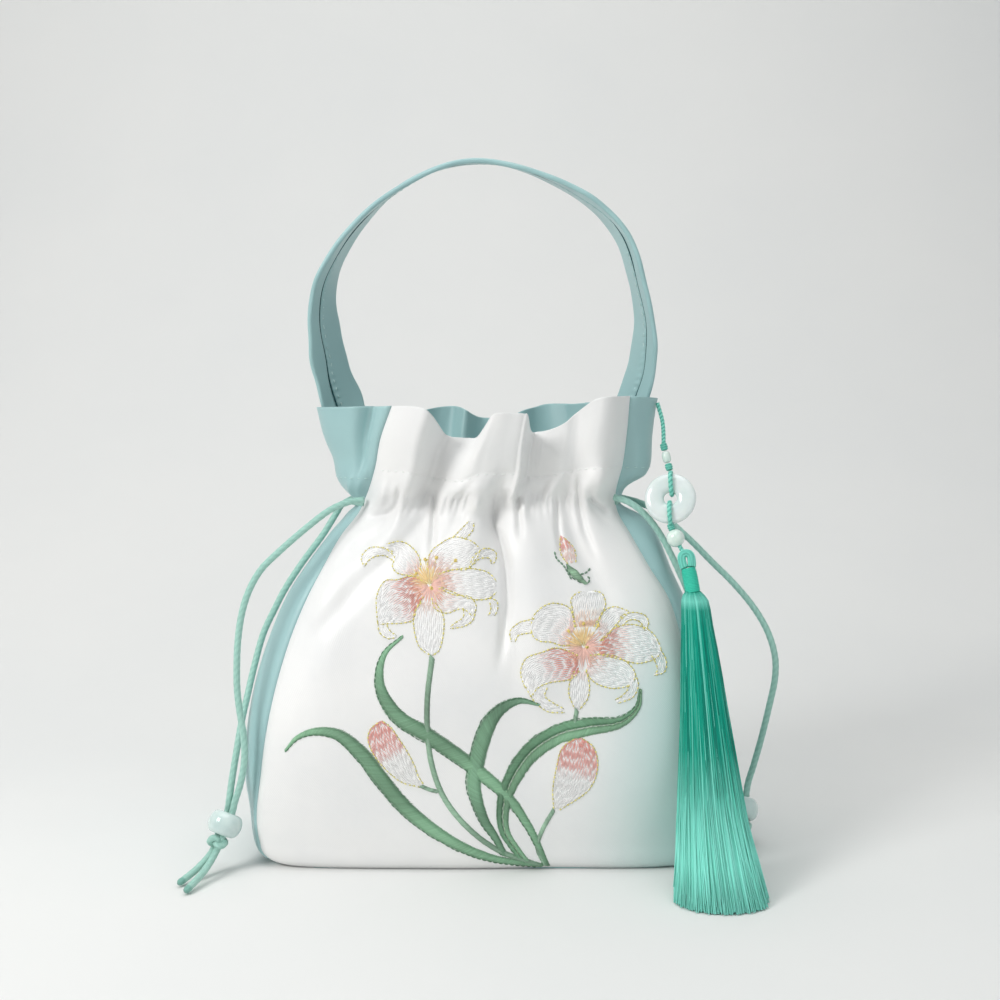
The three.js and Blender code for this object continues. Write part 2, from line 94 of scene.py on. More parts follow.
class TableCurve:
    """Smooth curve through the rows of a table, read by the first column."""

    def __init__(self, rows: Rows) -> None:
        """Keep the table.

        Args:
            rows: a key in each row, and its values.
        """
        table = np.array(rows, dtype=float)
        self.keys = table[:, 0]
        self.values = table[:, 1:]

    def __call__(self, at: np.ndarray) -> np.ndarray:
        """Read the curve.

        Args:
            at: keys, of any shape.

        Returns:
            The values there, in a last axis of the table's columns.
        """
        keys, values = self.keys, self.values
        last = len(keys) - 1
        at = np.clip(np.asarray(at, dtype=float), keys[0], keys[-1])
        high = np.clip(np.searchsorted(keys, at, side="right"), 1, last)
        low = high - 1
        start, end = keys[low], keys[high]
        first, final = low == 0, high == last
        before = np.where(first, end, keys[np.maximum(low - 1, 0)])
        after = np.where(final, start, keys[np.minimum(high + 1, last)])
        row_before = np.where(first, high, low - 1)
        row_after = np.where(final, low, np.minimum(high + 1, last))
        half = (end - start) / 2
        pull_in = half / (start - before)
        pull_out = half / (after - end)
        p = (at - start) / (end - start)
        square, cube = p * p, p * p * p
        shares = (
            -pull_in * cube + 2 * pull_in * square - pull_in * p,
            (1 + pull_in) * cube + (-1.5 - 2 * pull_in) * square + (-0.5 + pull_in) * p + 1,
            (-1 - pull_out) * cube + (1.5 + pull_out) * square + 0.5 * p,
            pull_out * cube - pull_out * square,
        )
        rows = (row_before, low, high, row_after)
        return sum(share[..., None] * values[row] for share, row in zip(shares, rows))


class Route:
    """Smooth line through points, walked by its length, with sides that don't twist."""

    def __init__(self, points: Rows, spacing: float) -> None:
        """Lay the line.

        Args:
            points: the places that it passes.
            spacing: distance between its samples.
        """
        corners = np.array(points, dtype=float)
        steps = np.sqrt(np.linalg.norm(np.diff(corners, axis=0), axis=1))
        keys = np.concatenate([[0.0], np.cumsum(steps)])
        dense = TableCurve(np.column_stack([keys, corners]))(np.linspace(0, keys[-1], 60 * len(corners)))
        walked = walk(dense)
        self.length = float(walked[-1])
        even = np.linspace(0, self.length, max(4, round(self.length / spacing)) + 1)
        self.points = np.column_stack([np.interp(even, walked, dense[:, i]) for i in range(corners.shape[1])])
        if corners.shape[1] == 3:
            self._turn_frames()

    def _turn_frames(self) -> None:
        """Carry a side vector along the line."""
        self.ahead = unit(np.gradient(self.points, axis=0))
        first = self.ahead[0]
        side = np.cross(first, (0.0, 0.0, 1.0) if abs(first[2]) < 0.9 else (0.0, 1.0, 0.0))
        sides = []
        for ahead in self.ahead:
            side = side - ahead * np.dot(side, ahead)
            side = side / np.linalg.norm(side)
            sides.append(side)
        self.sides = np.array(sides)
        self.ups = np.cross(self.ahead, self.sides)


class Sculptor:
    """Mesh making that the pieces share."""

    @staticmethod
    def grid(columns: int, rows: int, surface: Surface, flat: tuple[float, float] = (1, 1),
             closed: bool = False) -> bmesh.types.BMesh:
        """Lay a grid over a surface.

        Args:
            columns: faces across.
            rows: faces along.
            surface: places in millimetres for shares across and along.
            flat: size of the UV map in metres.
            closed: whether the first and last columns meet.

        Returns:
            The grid, with a UV map named flat.
        """
        bm = bmesh.new()
        uv = bm.loops.layers.uv.new("flat")
        bmesh.ops.create_grid(bm, x_segments=columns, y_segments=rows, size=1.0)
        flats = np.array([vert.co[:2] for vert in bm.verts])
        shares = (flats - flats.min(axis=0)) / np.ptp(flats, axis=0)
        places = surface(shares[:, 0], shares[:, 1]) * MM
        for vert, place in zip(bm.verts, places):
            vert.co = place
        bm.verts.index_update()
        bm.normal_update()
        maps = (shares * np.array(flat)).tolist()
        for face in bm.faces:
            for loop in face.loops:
                loop[uv].uv = maps[loop.vert.index]
        if closed:
            bmesh.ops.remove_doubles(bm, verts=bm.verts, dist=1e-6)
        return bm

    @classmethod
    def tube(cls, route: Route, around: int, radius: Surface) -> bmesh.types.BMesh:
        """Sweep a tube along a route.

        Args:
            route: its centre line.
            around: faces around it.
            radius: radius in millimetres for the angle and the length walked.

        Returns:
            The closed tube, its UV map around by along in metres.
        """
        last = len(route.points) - 1

        def surface(across: np.ndarray, along: np.ndarray) -> np.ndarray:
            """Places on the tube's skin."""
            row = np.rint(along * last).astype(int)
            angle = across * 2 * math.pi
            reach = radius(angle, along * route.length)[:, None]
            way = np.cos(angle)[:, None] * route.sides[row] + np.sin(angle)[:, None] * route.ups[row]
            return route.points[row] + way * reach

        bm = cls.grid(around, last, surface, (1.0, route.length * MM), closed=True)
        cls.close(bm)
        return bm

    @staticmethod
    def close(bm: bmesh.types.BMesh) -> None:
        """Fill the open ends of a tube and turn its faces out."""
        bmesh.ops.holes_fill(bm, edges=[edge for edge in bm.edges if edge.is_boundary], sides=0)
        bmesh.ops.recalc_face_normals(bm, faces=bm.faces)

    @staticmethod
    def turned(profile: Rows, steps: int, centre: Sequence[float], axis: Sequence[float],
               ring: bool = False) -> bmesh.types.BMesh:
        """Turn a profile about an axis.

        Args:
            profile: radius and height of each point, in millimetres.
            steps: faces around.
            centre: place of the profile's origin.
            axis: way that its height points.
            ring: whether the profile closes on itself.

        Returns:
            The closed shape, in its place.
        """
        bm = bmesh.new()
        verts = [bm.verts.new((r * MM, 0.0, z * MM)) for r, z in profile]
        pairs = list(zip(verts, verts[1:])) + ([(verts[-1], verts[0])] if ring else [])
        edges = [bm.edges.new(pair) for pair in pairs]
        bmesh.ops.spin(bm, geom=verts + edges, cent=(0, 0, 0), axis=(0, 0, 1), dvec=(0, 0, 0),
                       angle=2 * math.pi, steps=steps, use_merge=True, use_duplicate=False)
        bmesh.ops.remove_doubles(bm, verts=bm.verts, dist=2e-6)
        bmesh.ops.recalc_face_normals(bm, faces=bm.faces)
        turn = Vector((0, 0, 1)).rotation_difference(Vector(axis)).to_matrix().to_4x4()
        bmesh.ops.transform(bm, matrix=Matrix.Translation(Vector(centre) * MM) @ turn, verts=bm.verts)
        return bm

    @staticmethod
    def face_out(bm: bmesh.types.BMesh) -> None:
        """Turn the faces of the bag's cloth away from the middle of the bag."""
        bmesh.ops.recalc_face_normals(bm, faces=bm.faces)
        bm.normal_update()
        middle = Vector((0.0, 0.0, 100.0)) * MM
        if sum(f.calc_area() * f.normal.dot(f.calc_center_median() - middle) for f in bm.faces) < 0:
            bmesh.ops.reverse_faces(bm, faces=bm.faces)

    @staticmethod
    def places(bm: bmesh.types.BMesh) -> np.ndarray:
        """Places of a mesh's points, in millimetres."""
        return np.array([vert.co for vert in bm.verts]) / MM

    @staticmethod
    def paint(bm: bmesh.types.BMesh, tones: np.ndarray | Colour) -> None:
        """Give each point a tone that its material reads.

        Args:
            bm: the mesh.
            tones: a grey for each point, or one colour for all.
        """
        layer = bm.verts.layers.float_color.new("tone")
        colours = [tones] * len(bm.verts) if isinstance(tones, tuple) else [(t, t, t, 1.0) for t in tones]
        for vert, colour in zip(bm.verts, colours):
            vert[layer] = colour


def add_piece(name: str, source: bmesh.types.BMesh | bpy.types.Mesh, finish: bpy.types.Material,
              nodes: Sequence[str] = ()) -> bpy.types.Object:
    """Make a smooth-shaded piece that rides on the purse.

    Args:
        name: the piece's name.
        source: its mesh.
        finish: its material.
        nodes: CAD nodes that it stands for.

    Returns:
        The new object.
    """
    mesh = source
    if isinstance(source, bmesh.types.BMesh):
        mesh = bpy.data.meshes.new(name)
        source.to_mesh(mesh)
        source.free()
    mesh.name = name
    mesh.polygons.foreach_set("use_smooth", [True] * len(mesh.polygons))
    mesh.materials.append(finish)
    piece = bpy.data.objects.new(name, mesh)
    bpy.context.scene.collection.objects.link(piece)
    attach(piece, "root")
    if nodes:
        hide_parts(*nodes)
    LOG.info("%s: %d faces", name, len(mesh.polygons))
    return piece


class ThreadBook:
    """Many short threads of one kind, gathered into one mesh."""

    SECTION = np.array([(-0.5, -0.35), (-0.3, 0.5), (0.3, 0.5), (0.5, -0.35)])

    def __init__(self) -> None:
        """Open an empty book."""
        self.lines: list[np.ndarray] = []
        self.ups: list[np.ndarray] = []
        self.sizes: list[np.ndarray] = []
        self.colours: list[np.ndarray] = []

    def lay(self, line: np.ndarray, up: np.ndarray, size: np.ndarray, colour: np.ndarray) -> None:
        """Add threads.

        Args:
            line: threads by places by three, in millimetres.
            up: the way out of the cloth at each place.
            size: width and height of each thread.
            colour: linear colour of each thread, or of each place on it.
        """
        self.lines.append(line)
        self.ups.append(np.broadcast_to(up, line.shape))
        self.sizes.append(np.broadcast_to(size, (len(line), 2)))
        colour = colour if colour.ndim == 3 else colour[:, None, :]
        self.colours.append(np.broadcast_to(colour, (*line.shape[:2], 4)))

    def mesh(self, name: str, taper: float = 0.45) -> bpy.types.Mesh:
        """Make the mesh.

        Args:
            name: its name.
            taper: share of the width at a thread's ends.

        Returns:
            One mesh of closed threads, with their colours in the attribute tone.
        """
        line, up = np.concatenate(self.lines), unit(np.concatenate(self.ups))
        size, colour = np.concatenate(self.sizes), np.concatenate(self.colours)
        threads, count = line.shape[:2]
        ahead = unit(np.gradient(line, axis=1))
        side = unit(np.cross(ahead, up))
        up = np.cross(side, ahead)
        narrow = np.ones(count)
        narrow[[0, -1]] = taper
        corners = self.SECTION
        wide = corners[:, 0] * size[:, None, None, 0] * narrow[None, :, None]
        tall = corners[:, 1] * size[:, None, None, 1] * narrow[None, :, None]
        places = line[:, :, None] + wide[..., None] * side[:, :, None] + tall[..., None] * up[:, :, None]
        around = len(corners)
        ring = np.arange(around)
        cell = np.arange(count - 1)[:, None] * around
        quads = np.stack([cell + ring, cell + (ring + 1) % around, cell + (ring + 1) % around + around,
                          cell + ring + around], axis=-1).reshape(-1, 4)
        ends = np.array([ring[::-1], ring + (count - 1) * around])
        faces = np.concatenate([quads, ends])
        every = (np.arange(threads)[:, None, None] * count * around + faces).reshape(-1, 4)
        mesh = bpy.data.meshes.new(name)
        mesh.vertices.add(threads * count * around)
        mesh.vertices.foreach_set("co", (places * MM).astype(np.float32).ravel())
        mesh.loops.add(every.size)
        mesh.loops.foreach_set("vertex_index", every.ravel().astype(np.int32))
        mesh.polygons.add(len(every))
        mesh.polygons.foreach_set("loop_start", np.arange(0, every.size, 4, dtype=np.int32))
        tones = mesh.color_attributes.new("tone", "FLOAT_COLOR", "POINT")
        painted = np.repeat(colour[:, :, None], around, axis=2).astype(np.float32)
        tones.data.foreach_set("color", painted.ravel())
        mesh.update(calc_edges=True)
        return mesh


class Board:
    """A node tree, with short calls to fill it."""

    def __init__(self, tree: bpy.types.NodeTree) -> None:
        """Take a tree."""
        self.tree = tree

    def add(
        self, kind: str, inputs: dict[str | int, object] | None = None, **settings: object,
    ) -> bpy.types.Node:
        """Add a node.

        Args:
            kind: its type, without the leading ShaderNode.
            inputs: a value or an output to link, for each input.
            settings: its own settings.

        Returns:
            The node.
        """
        node = self.tree.nodes.new("ShaderNode" + kind)
        for key, value in settings.items():
            setattr(node, key, value)
        for key, value in (inputs or {}).items():
            if isinstance(value, bpy.types.NodeSocket):
                self.tree.links.new(value, node.inputs[key])
            else:
                node.inputs[key].default_value = value
        return node

    def math(self, operation: str, *values: object) -> bpy.types.NodeSocket:
        """Output of a Math node on values and outputs."""
        return self.add("Math", dict(enumerate(values)), operation=operation).outputs[0]

    def blend(self, share: bpy.types.NodeSocket, low: object, high: object) -> bpy.types.NodeSocket:
        """Colour between two colours, by a share that varies."""
        inputs = {0: share, 6: low, 7: high}
        return self.add("Mix", inputs, data_type="RGBA").outputs[2]

    def spread(self, value: bpy.types.NodeSocket, low: float, high: float) -> bpy.types.NodeSocket:
        """A share of zero to one, mapped between two values."""
        return self.add("MapRange", {0: value, 3: low, 4: high}).outputs[0]


class Effects:
    """Node groups that several finishes use, each built once."""

    def __init__(self) -> None:
        """Build the groups."""
        self.weave = self._weave()
        self.mottle = self._mottle()
        self.twist = self._twist()

    @staticmethod
    def _group(name: str, inputs: dict[str, str], outputs: Sequence[str]) -> tuple[Board, bpy.types.Node]:
        """Start a group.

        Args:
            name: its name.
            inputs: socket kind of each input.
            outputs: names of its values.

        Returns:
            A board on the group, and its input node.
        """
        tree = bpy.data.node_groups.new(name, "ShaderNodeTree")
        for socket, kind in inputs.items():
            tree.interface.new_socket(socket, in_out="INPUT", socket_type="NodeSocket" + kind)
        for socket in outputs:
            tree.interface.new_socket(socket, in_out="OUTPUT", socket_type="NodeSocketFloat")
        return Board(tree), tree.nodes.new("NodeGroupInput")

    @staticmethod
    def _close(board: Board, outputs: dict[str, bpy.types.NodeSocket]) -> bpy.types.NodeTree:
        """Link a group's outputs and give back its tree."""
        end = board.tree.nodes.new("NodeGroupOutput")
        for name, socket in outputs.items():
            board.tree.links.new(socket, end.inputs[name])
        return board.tree

    def _weave(self) -> bpy.types.NodeTree:
        """Satin twill: slanted floats over fine threads, with a little slack."""
        board, start = self._group("satin_weave", {"Vector": "Vector", "Scale": "Float"}, ("Height", "Float"))
        place = board.add("VectorMath", {0: start.outputs["Vector"], 3: start.outputs["Scale"]},
                          operation="SCALE").outputs[0]
        slant = board.add("TexWave", {"Vector": place, "Scale": 1.0, "Distortion": 0.7, "Detail": 1.0,
                                      "Detail Scale": 0.6}, bands_direction="DIAGONAL")
        upright = board.add("TexWave", {"Vector": place, "Scale": 1.3, "Distortion": 0.4, "Detail": 1.0},
                            bands_direction="X")
        slub = board.add("TexNoise", {"Vector": place, "Scale": 0.35, "Detail": 3.0})
        floats = board.math("MULTIPLY_ADD", slant.outputs["Fac"], 0.7, board.math(
            "MULTIPLY", upright.outputs["Fac"], 0.3))
        height = board.math("MULTIPLY_ADD", slub.outputs["Fac"], 0.6, floats)
        return self._close(board, {"Height": height, "Float": floats})

    def _mottle(self) -> bpy.types.NodeTree:
        """Soft clouds, for tone that drifts over a surface."""
        board, start = self._group("soft_clouds", {"Vector": "Vector", "Scale": "Float"}, ("Share",))
        noise = board.add("TexNoise", {"Vector": start.outputs["Vector"], "Scale": start.outputs["Scale"],
                                       "Detail": 4.0, "Roughness": 0.55})
        share = board.add("MapRange", {0: noise.outputs["Fac"], 1: 0.3, 2: 0.7})
        return self._close(board, {"Share": share.outputs[0]})

    def _twist(self) -> bpy.types.NodeTree:
        """Yarns that run slanting round a cord, read from its map of around by along."""
        board, start = self._group("cord_twist", {"Vector": "Vector", "Yarns": "Float", "Slope": "Float"},
                                   ("Height",))
        parts = board.add("SeparateXYZ", {0: start.outputs["Vector"]})
        lead = board.math("MULTIPLY", parts.outputs[1], start.outputs["Slope"])
        turn = board.math("ADD", parts.outputs[0], lead)
        phase = board.math("MULTIPLY", board.math("MULTIPLY", turn, start.outputs["Yarns"]), 2 * math.pi)
        height = board.math("MULTIPLY_ADD", board.math("SINE", phase), 0.5, 0.5)
        return self._close(board, {"Height": height})


class Finish:
    """Start of a material, with the parts that the finishes share."""

    def __init__(self, name: str) -> None:
        """Make an empty node material.

        Args:
            name: the material's name.
        """
        self.material = bpy.data.materials.new(name)
        self.material.use_nodes = True
        self.board = Board(self.material.node_tree)
        self.shader = self.material.node_tree.nodes["Principled BSDF"]

    def set(self, **sockets: object) -> None:
        """Set or link the shader's sockets, named with _ for a space."""
        for name, value in sockets.items():
            socket = self.shader.inputs[name.replace("_", " ")]
            if isinstance(value, bpy.types.NodeSocket):
                self.board.tree.links.new(value, socket)
            else:
                socket.default_value = value

    def flat_map(self) -> bpy.types.NodeSocket:
        """The piece's own map in metres."""
        return self.board.add("UVMap", uv_map="flat").outputs[0]

    def place(self) -> bpy.types.NodeSocket:
        """Object coordinates."""
        return self.board.add("TexCoord").outputs["Object"]

    def group(self, tree: bpy.types.NodeTree, **inputs: object) -> bpy.types.Node:
        """Place a shared effect with its own values."""
        named = {name.title(): value for name, value in inputs.items()}
        return self.board.add("Group", named, node_tree=tree)

    def tone(self) -> bpy.types.NodeSocket:
        """The colour kept on the mesh."""
        return self.board.add("VertexColor", layer_name="tone").outputs[0]

    def bump(self, height: bpy.types.NodeSocket, depth: float, strength: float) -> bpy.types.NodeSocket:
        """Normal bumped by a height, depth in metres."""
        return self.board.add("Bump", {"Height": height, "Distance": depth, "Strength": strength}).outputs[0]


@dataclass(frozen=True)
class Recipe:
    """A named finish, which each kind fills in its own way."""

    name: str

    def material(self, effects: Effects) -> bpy.types.Material:
        """Build the material.

        Args:
            effects: the shared groups.

        Returns:
            The material.
        """
        finish = Finish(self.name)
        self.fill(finish, effects)
        return finish.material

    def fill(self, finish: Finish, effects: Effects) -> None:
        """Fill the material, which every kind of finish does itself."""
        raise NotImplementedError(self.name)


@dataclass(frozen=True)
class ClothFinish(Recipe):
    """Satin twill with a drifting tone, a fine weave and, where given, a painted reflection mixed into its
    colour.
    """

    light: str
    deep: str
    weave: float = 640.0
    depth: float = 0.0001
    relief: float = 0.28
    gloss: tuple[float, float] = (0.31, 0.44)
    sheen: float = 0.2
    clouds: float = 26.0
    weave_share: float = 0.14
    cloud_share: float = 0.5
    # colour of a painted reflection, and the box and share where it is mixed into the cloth
    painted_light: str | None = None
    reflection_across: tuple[float, float] = (0.036, 0.096)
    reflection_level: tuple[float, float] = (0.142, 0.066)
    reflection_share: float = 0.72

    def fill(self, finish: Finish, effects: Effects) -> None:
        """Fill the material.

        Args:
            finish: the material to fill.
            effects: the shared groups.
        """
        board = finish.board
        weave = finish.group(effects.weave, vector=finish.flat_map(), scale=self.weave)
        cloud = finish.group(effects.mottle, vector=finish.place(), scale=self.clouds)
        drift = board.math("MULTIPLY", cloud.outputs["Share"], self.cloud_share)
        share = board.math("MULTIPLY_ADD", weave.outputs["Float"], self.weave_share, drift)
        colour = board.blend(share, tint(self.light), tint(self.deep))
        # painted reflection: the tassel's teal cast mixed into the colour over the front's lower right
        if self.painted_light:
            parts = board.add("SeparateXYZ", {0: finish.place()})
            reflection_masks = []
            for axis, (start, end) in ((0, self.reflection_across), (2, self.reflection_level)):
                limits = {0: parts.outputs[axis], 1: start, 2: end}
                reflection_masks.append(board.add("MapRange", limits, interpolation_type="SMOOTHSTEP").outputs[0])
            reflection_mask = board.math("MULTIPLY", board.math("MULTIPLY", *reflection_masks), self.reflection_share)
            colour = board.blend(reflection_mask, colour, tint(self.painted_light))
        finish.set(
            Base_Color=colour,
            Roughness=board.spread(weave.outputs["Float"], *self.gloss),
            Sheen_Weight=self.sheen, Sheen_Roughness=0.4, Specular_IOR_Level=0.45,
            Normal=finish.bump(weave.outputs["Height"], self.depth, self.relief),
        )


@dataclass(frozen=True)
class CordFinish(Recipe):
    """Twisted satin cord: fine yarns, with painted shade between the yarns and plies, and deeper at the
    sealed tip.
    """

    light: str
    deep: str
    yarns: float = 15.0
    slope: float = 110.0
    gloss: tuple[float, float] = (0.48, 0.34)
    between: float = 0.72
    depth: float = 0.00012
    relief: float = 0.8

    def fill(self, finish: Finish, effects: Effects) -> None:
        """Fill the material.

        Args:
            finish: the material to fill.
            effects: the shared groups.
        """
        yarn = finish.group(effects.twist, vector=finish.flat_map(), yarns=self.yarns, slope=self.slope)
        # painted shade: the grooves between the yarns take the deeper colour
        raised = finish.board.spread(yarn.outputs[0], self.between, 1.0)
        share = finish.board.math("MULTIPLY", finish.tone(), raised)
        finish.set(
            Base_Color=finish.board.blend(share, tint(self.deep), tint(self.light)),
            Roughness=finish.board.spread(yarn.outputs[0], *self.gloss),
            Sheen_Weight=0.3, Sheen_Roughness=0.35, Specular_IOR_Level=0.5,
            Normal=finish.bump(yarn.outputs[0], self.depth, self.relief),
        )


@dataclass(frozen=True)
class ThreadFinish(Recipe):
    """Silk or cotton thread in the colours kept on its mesh."""

    roughness: float
    sheen: float = 0.25
    shine: float = 0.3
    clouds: float = 700.0
    smoother: float = 0.08
    rougher: float = 0.1
    depth: float = 0.00006
    relief: float = 0.5

    def fill(self, finish: Finish, effects: Effects) -> None:
        """Fill the material.

        Args:
            finish: the material to fill.
            effects: the shared groups.
        """
        cloud = finish.group(effects.mottle, vector=finish.place(), scale=self.clouds)
        least, most = self.roughness - self.smoother, self.roughness + self.rougher
        finish.set(
            Base_Color=finish.tone(),
            Roughness=finish.board.spread(cloud.outputs[0], least, most),
            Sheen_Weight=self.sheen, Sheen_Roughness=0.35, Specular_IOR_Level=self.shine,
            Normal=finish.bump(cloud.outputs[0], self.depth, self.relief),
        )


@dataclass(frozen=True)
class StoneFinish(Recipe):
    """Polished stone or glazed clay with soft clouds inside."""

    light: str
    deep: str
    clouds: float
    inside: float
    gloss: tuple[float, float] = (0.06, 0.14)
    finer: float = 9.0
    depth: float = 0.00002
    relief: float = 0.3

    def fill(self, finish: Finish, effects: Effects) -> None:
        """Fill the material.

        Args:
            finish: the material to fill.
            effects: the shared groups.
        """
        cloud = finish.group(effects.mottle, vector=finish.place(), scale=self.clouds)
        fine = finish.group(effects.mottle, vector=finish.place(), scale=self.clouds * self.finer)
        finish.set(
            Base_Color=finish.board.blend(cloud.outputs[0], tint(self.light), tint(self.deep)),
            Roughness=finish.board.spread(fine.outputs[0], *self.gloss),
            Subsurface_Weight=self.inside, Subsurface_Scale=0.004, Subsurface_Radius=(1.0, 1.0, 0.9),
            Coat_Weight=0.6, Coat_Roughness=0.05,
            Normal=finish.bump(fine.outputs[0], self.depth, self.relief),
        )


@dataclass(frozen=True)
class BackdropFinish(Recipe):
    """Plain pale card."""

    light: str
    deep: str
    clouds: float = 3.0
    gloss: tuple[float, float] = (0.75, 0.85)

    def fill(self, finish: Finish, effects: Effects) -> None:
        """Fill the material.

        Args:
            finish: the material to fill.
            effects: the shared groups.
        """
        cloud = finish.group(effects.mottle, vector=finish.place(), scale=self.clouds)
        finish.set(Base_Color=finish.board.blend(cloud.outputs[0], tint(self.light), tint(self.deep)),
                   Roughness=finish.board.spread(cloud.outputs[0], *self.gloss), Specular_IOR_Level=0.2)


class Palette:
    """All finishes of the purse."""

    def __init__(self) -> None:
        """Build each material once."""
        effects = Effects()
        # the white satin has a painted teal reflection on the front's lower right
        self.white = ClothFinish("white_satin", "f1f0ee", "e3e4e5", painted_light="9ecfca").material(effects)
        self.aqua = ClothFinish("aqua_satin", "a5c9c9", "92b6b9").material(effects)
        self.cord = CordFinish("mint_cord", "aedacd", "7db4a6").material(effects)
        self.silk_cord = CordFinish("teal_cord", "8fe6d4", "2f9c89", yarns=4.0, slope=330.0).material(effects)
        self.silk = ThreadFinish("teal_silk", 0.4, 0.03, 0.2).material(effects)
        self.floss = ThreadFinish("embroidery_floss", 0.42, 0.15).material(effects)
        self.disc = StoneFinish("white_jade", "e6eceb", "d5e1df", 90.0, 0.5).material(effects)
        self.jade = StoneFinish("pale_jade", "e6f3ec", "cde4d8", 160.0, 0.4).material(effects)
        self.porcelain = StoneFinish("porcelain", "d8e7e4", "bfd4d1", 120.0, 0.2).material(effects)
        self.card = BackdropFinish("pale_card", "e9e9e7", "e4e5e4").material(effects)


class Side(Enum):
    """Sides of the purse as its front is seen."""

    LEFT = -1
    RIGHT = 1


class Facing(Enum):
    """Ways that a panel faces."""

    FRONT = 1
    BACK = -1


NECK_Z = 163.0
TOP_Z = 205.0
DRAWN_Z = 161.5
STITCH_Z = 175.4
BASE_SINK = 0.8
BASE_SPREAD = 1.6


def frill_rise(level: np.ndarray | float) -> np.ndarray:
    """Share of the frill's height that a level has reached, zero under its foot."""
    return np.clip((level - NECK_Z) / (TOP_Z - NECK_Z), 0, 1)


class Outline:
    """Level outlines of the bag, and the seams where its panels meet the gusset."""

    SECTIONS = (
        (0, 93.5, 44, 9, -90, 90, -90, 90), (3, 100, 46.5, 8.5, -96, 96, -96, 96),
        (12, 107, 48, 7.5, -100, 102, -102, 102), (45, 109.5, 49, 5.2, -98.8, 101, -101, 101),
        (75, 106, 47.5, 3.8, -94, 95, -95, 95), (100, 98.5, 44, 3.2, -87, 88.5, -87, 87),
        (118, 90.5, 40, 2.9, -79.8, 83, -80, 80), (131, 82, 36, 2.7, -73.2, 75, -72, 72),
        (145, 71.5, 31, 2.5, -65.4, 67, -64, 64), (156, 63.5, 26, 2.3, -57, 60.8, -57, 57),
        (163, 63, 24.5, 2.2, -54, 60, -55, 55), (176, 70, 28, 2.1, -49.5, 63, -54, 54),
        (190, 76, 31.5, 2, -46.5, 64.5, -52, 51), (205, 79.5, 34, 2, -41, 65.5, -48, 48),
    )

    def __init__(self) -> None:
        """Read the sections."""
        self.curve = TableCurve(self.SECTIONS)

    def seams(self, level: np.ndarray, facing: Facing) -> tuple[np.ndarray, np.ndarray]:
        """Left and right seams of a panel, in its own turned frame.

        Args:
            level: heights.
            facing: which panel.

        Returns:
            The two seams' places across.
        """
        rows = self.curve(level)
        if facing is Facing.FRONT:
            return rows[..., 3], rows[..., 4]
        return -rows[..., 6], -rows[..., 5]

    def depth(self, across: np.ndarray, level: np.ndarray) -> np.ndarray:
        """How far the outline stands from the middle plane at a place across."""
        half, depth, power = np.moveaxis(self.curve(level)[..., :3], -1, 0)
        share = np.clip(np.abs(across) / half, 0, 1)
        return depth * (1 - share ** power) ** (1 / power)

    def arc(self, level: float, side: Side, count: int) -> tuple[np.ndarray, np.ndarray]:
        """Even points along a gusset's outline, front to back, and the ways out.

        Args:
            level: height.
            side: which gusset.
            count: steps.

        Returns:
            Points and outward ways, in the level plane.
        """
        half, depth, power, *seams = self.curve(level)
        front, back = (seams[0], seams[2]) if side is Side.LEFT else (seams[1], seams[3])
        ys = np.linspace(-float(self.depth(front, level)), float(self.depth(back, level)), 241)
        xs = side.value * half * (1 - np.clip(np.abs(ys) / depth, 0, 1) ** power) ** (1 / power)
        line = np.column_stack([xs, ys])
        walked = walk(line)
        even = np.linspace(0.0, walked[-1], count + 1)
        points = np.column_stack([np.interp(even, walked, xs), np.interp(even, walked, ys)])
        ahead = unit(np.gradient(points, axis=0))
        return points, side.value * np.column_stack([ahead[:, 1], -ahead[:, 0]])


@dataclass(frozen=True)
class Fold:
    """A fold that falls from the channel and dies out below."""

    across: float
    drift: float
    out: float
    width: float
    reach: float


@dataclass(frozen=True)
class Crease:
    """A crease through places on a panel, across and up, that widens and fades as it runs."""

    line: Rows
    out: float
    width: float
    flare: float = 0.8
    opening: float = 0.18

    def press(self, across: np.ndarray, level: np.ndarray) -> np.ndarray:
        """How far the crease moves each place out.

        Args:
            across: places across, in millimetres.
            level: their heights.

        Returns:
            Distances out.
        """
        places = np.stack([across, level], axis=-1)
        points = np.array(self.line, dtype=float)
        nearest, along = np.full(across.shape, 1e6), np.zeros(across.shape)
        for at, (start, end) in enumerate(zip(points, points[1:])):
            way = end - start
            share = np.clip((places - start) @ way / (way @ way), 0, 1)
            distance = np.linalg.norm(places - start - share[..., None] * way, axis=-1)
            along = np.where(distance < nearest, (at + share) / (len(points) - 1), along)
            nearest = np.minimum(distance, nearest)
        fade = (1 - 0.5 * along) * (1 - ease(along, 0.7, 1.0)) * ease(along, -0.05, self.opening)
        return self.out * bell(nearest, self.width * (1 + self.flare * along)) * fade


@dataclass(frozen=True)
class Puff:
    """A round fullness in a panel."""

    across: float
    level: float
    out: float
    wide: float
    tall: float

    def press(self, across: np.ndarray, level: np.ndarray) -> np.ndarray:
        """How far the puff moves each place out, at places across and up."""
        return self.out * bell(across - self.across, self.wide) * bell(level - self.level, self.tall)


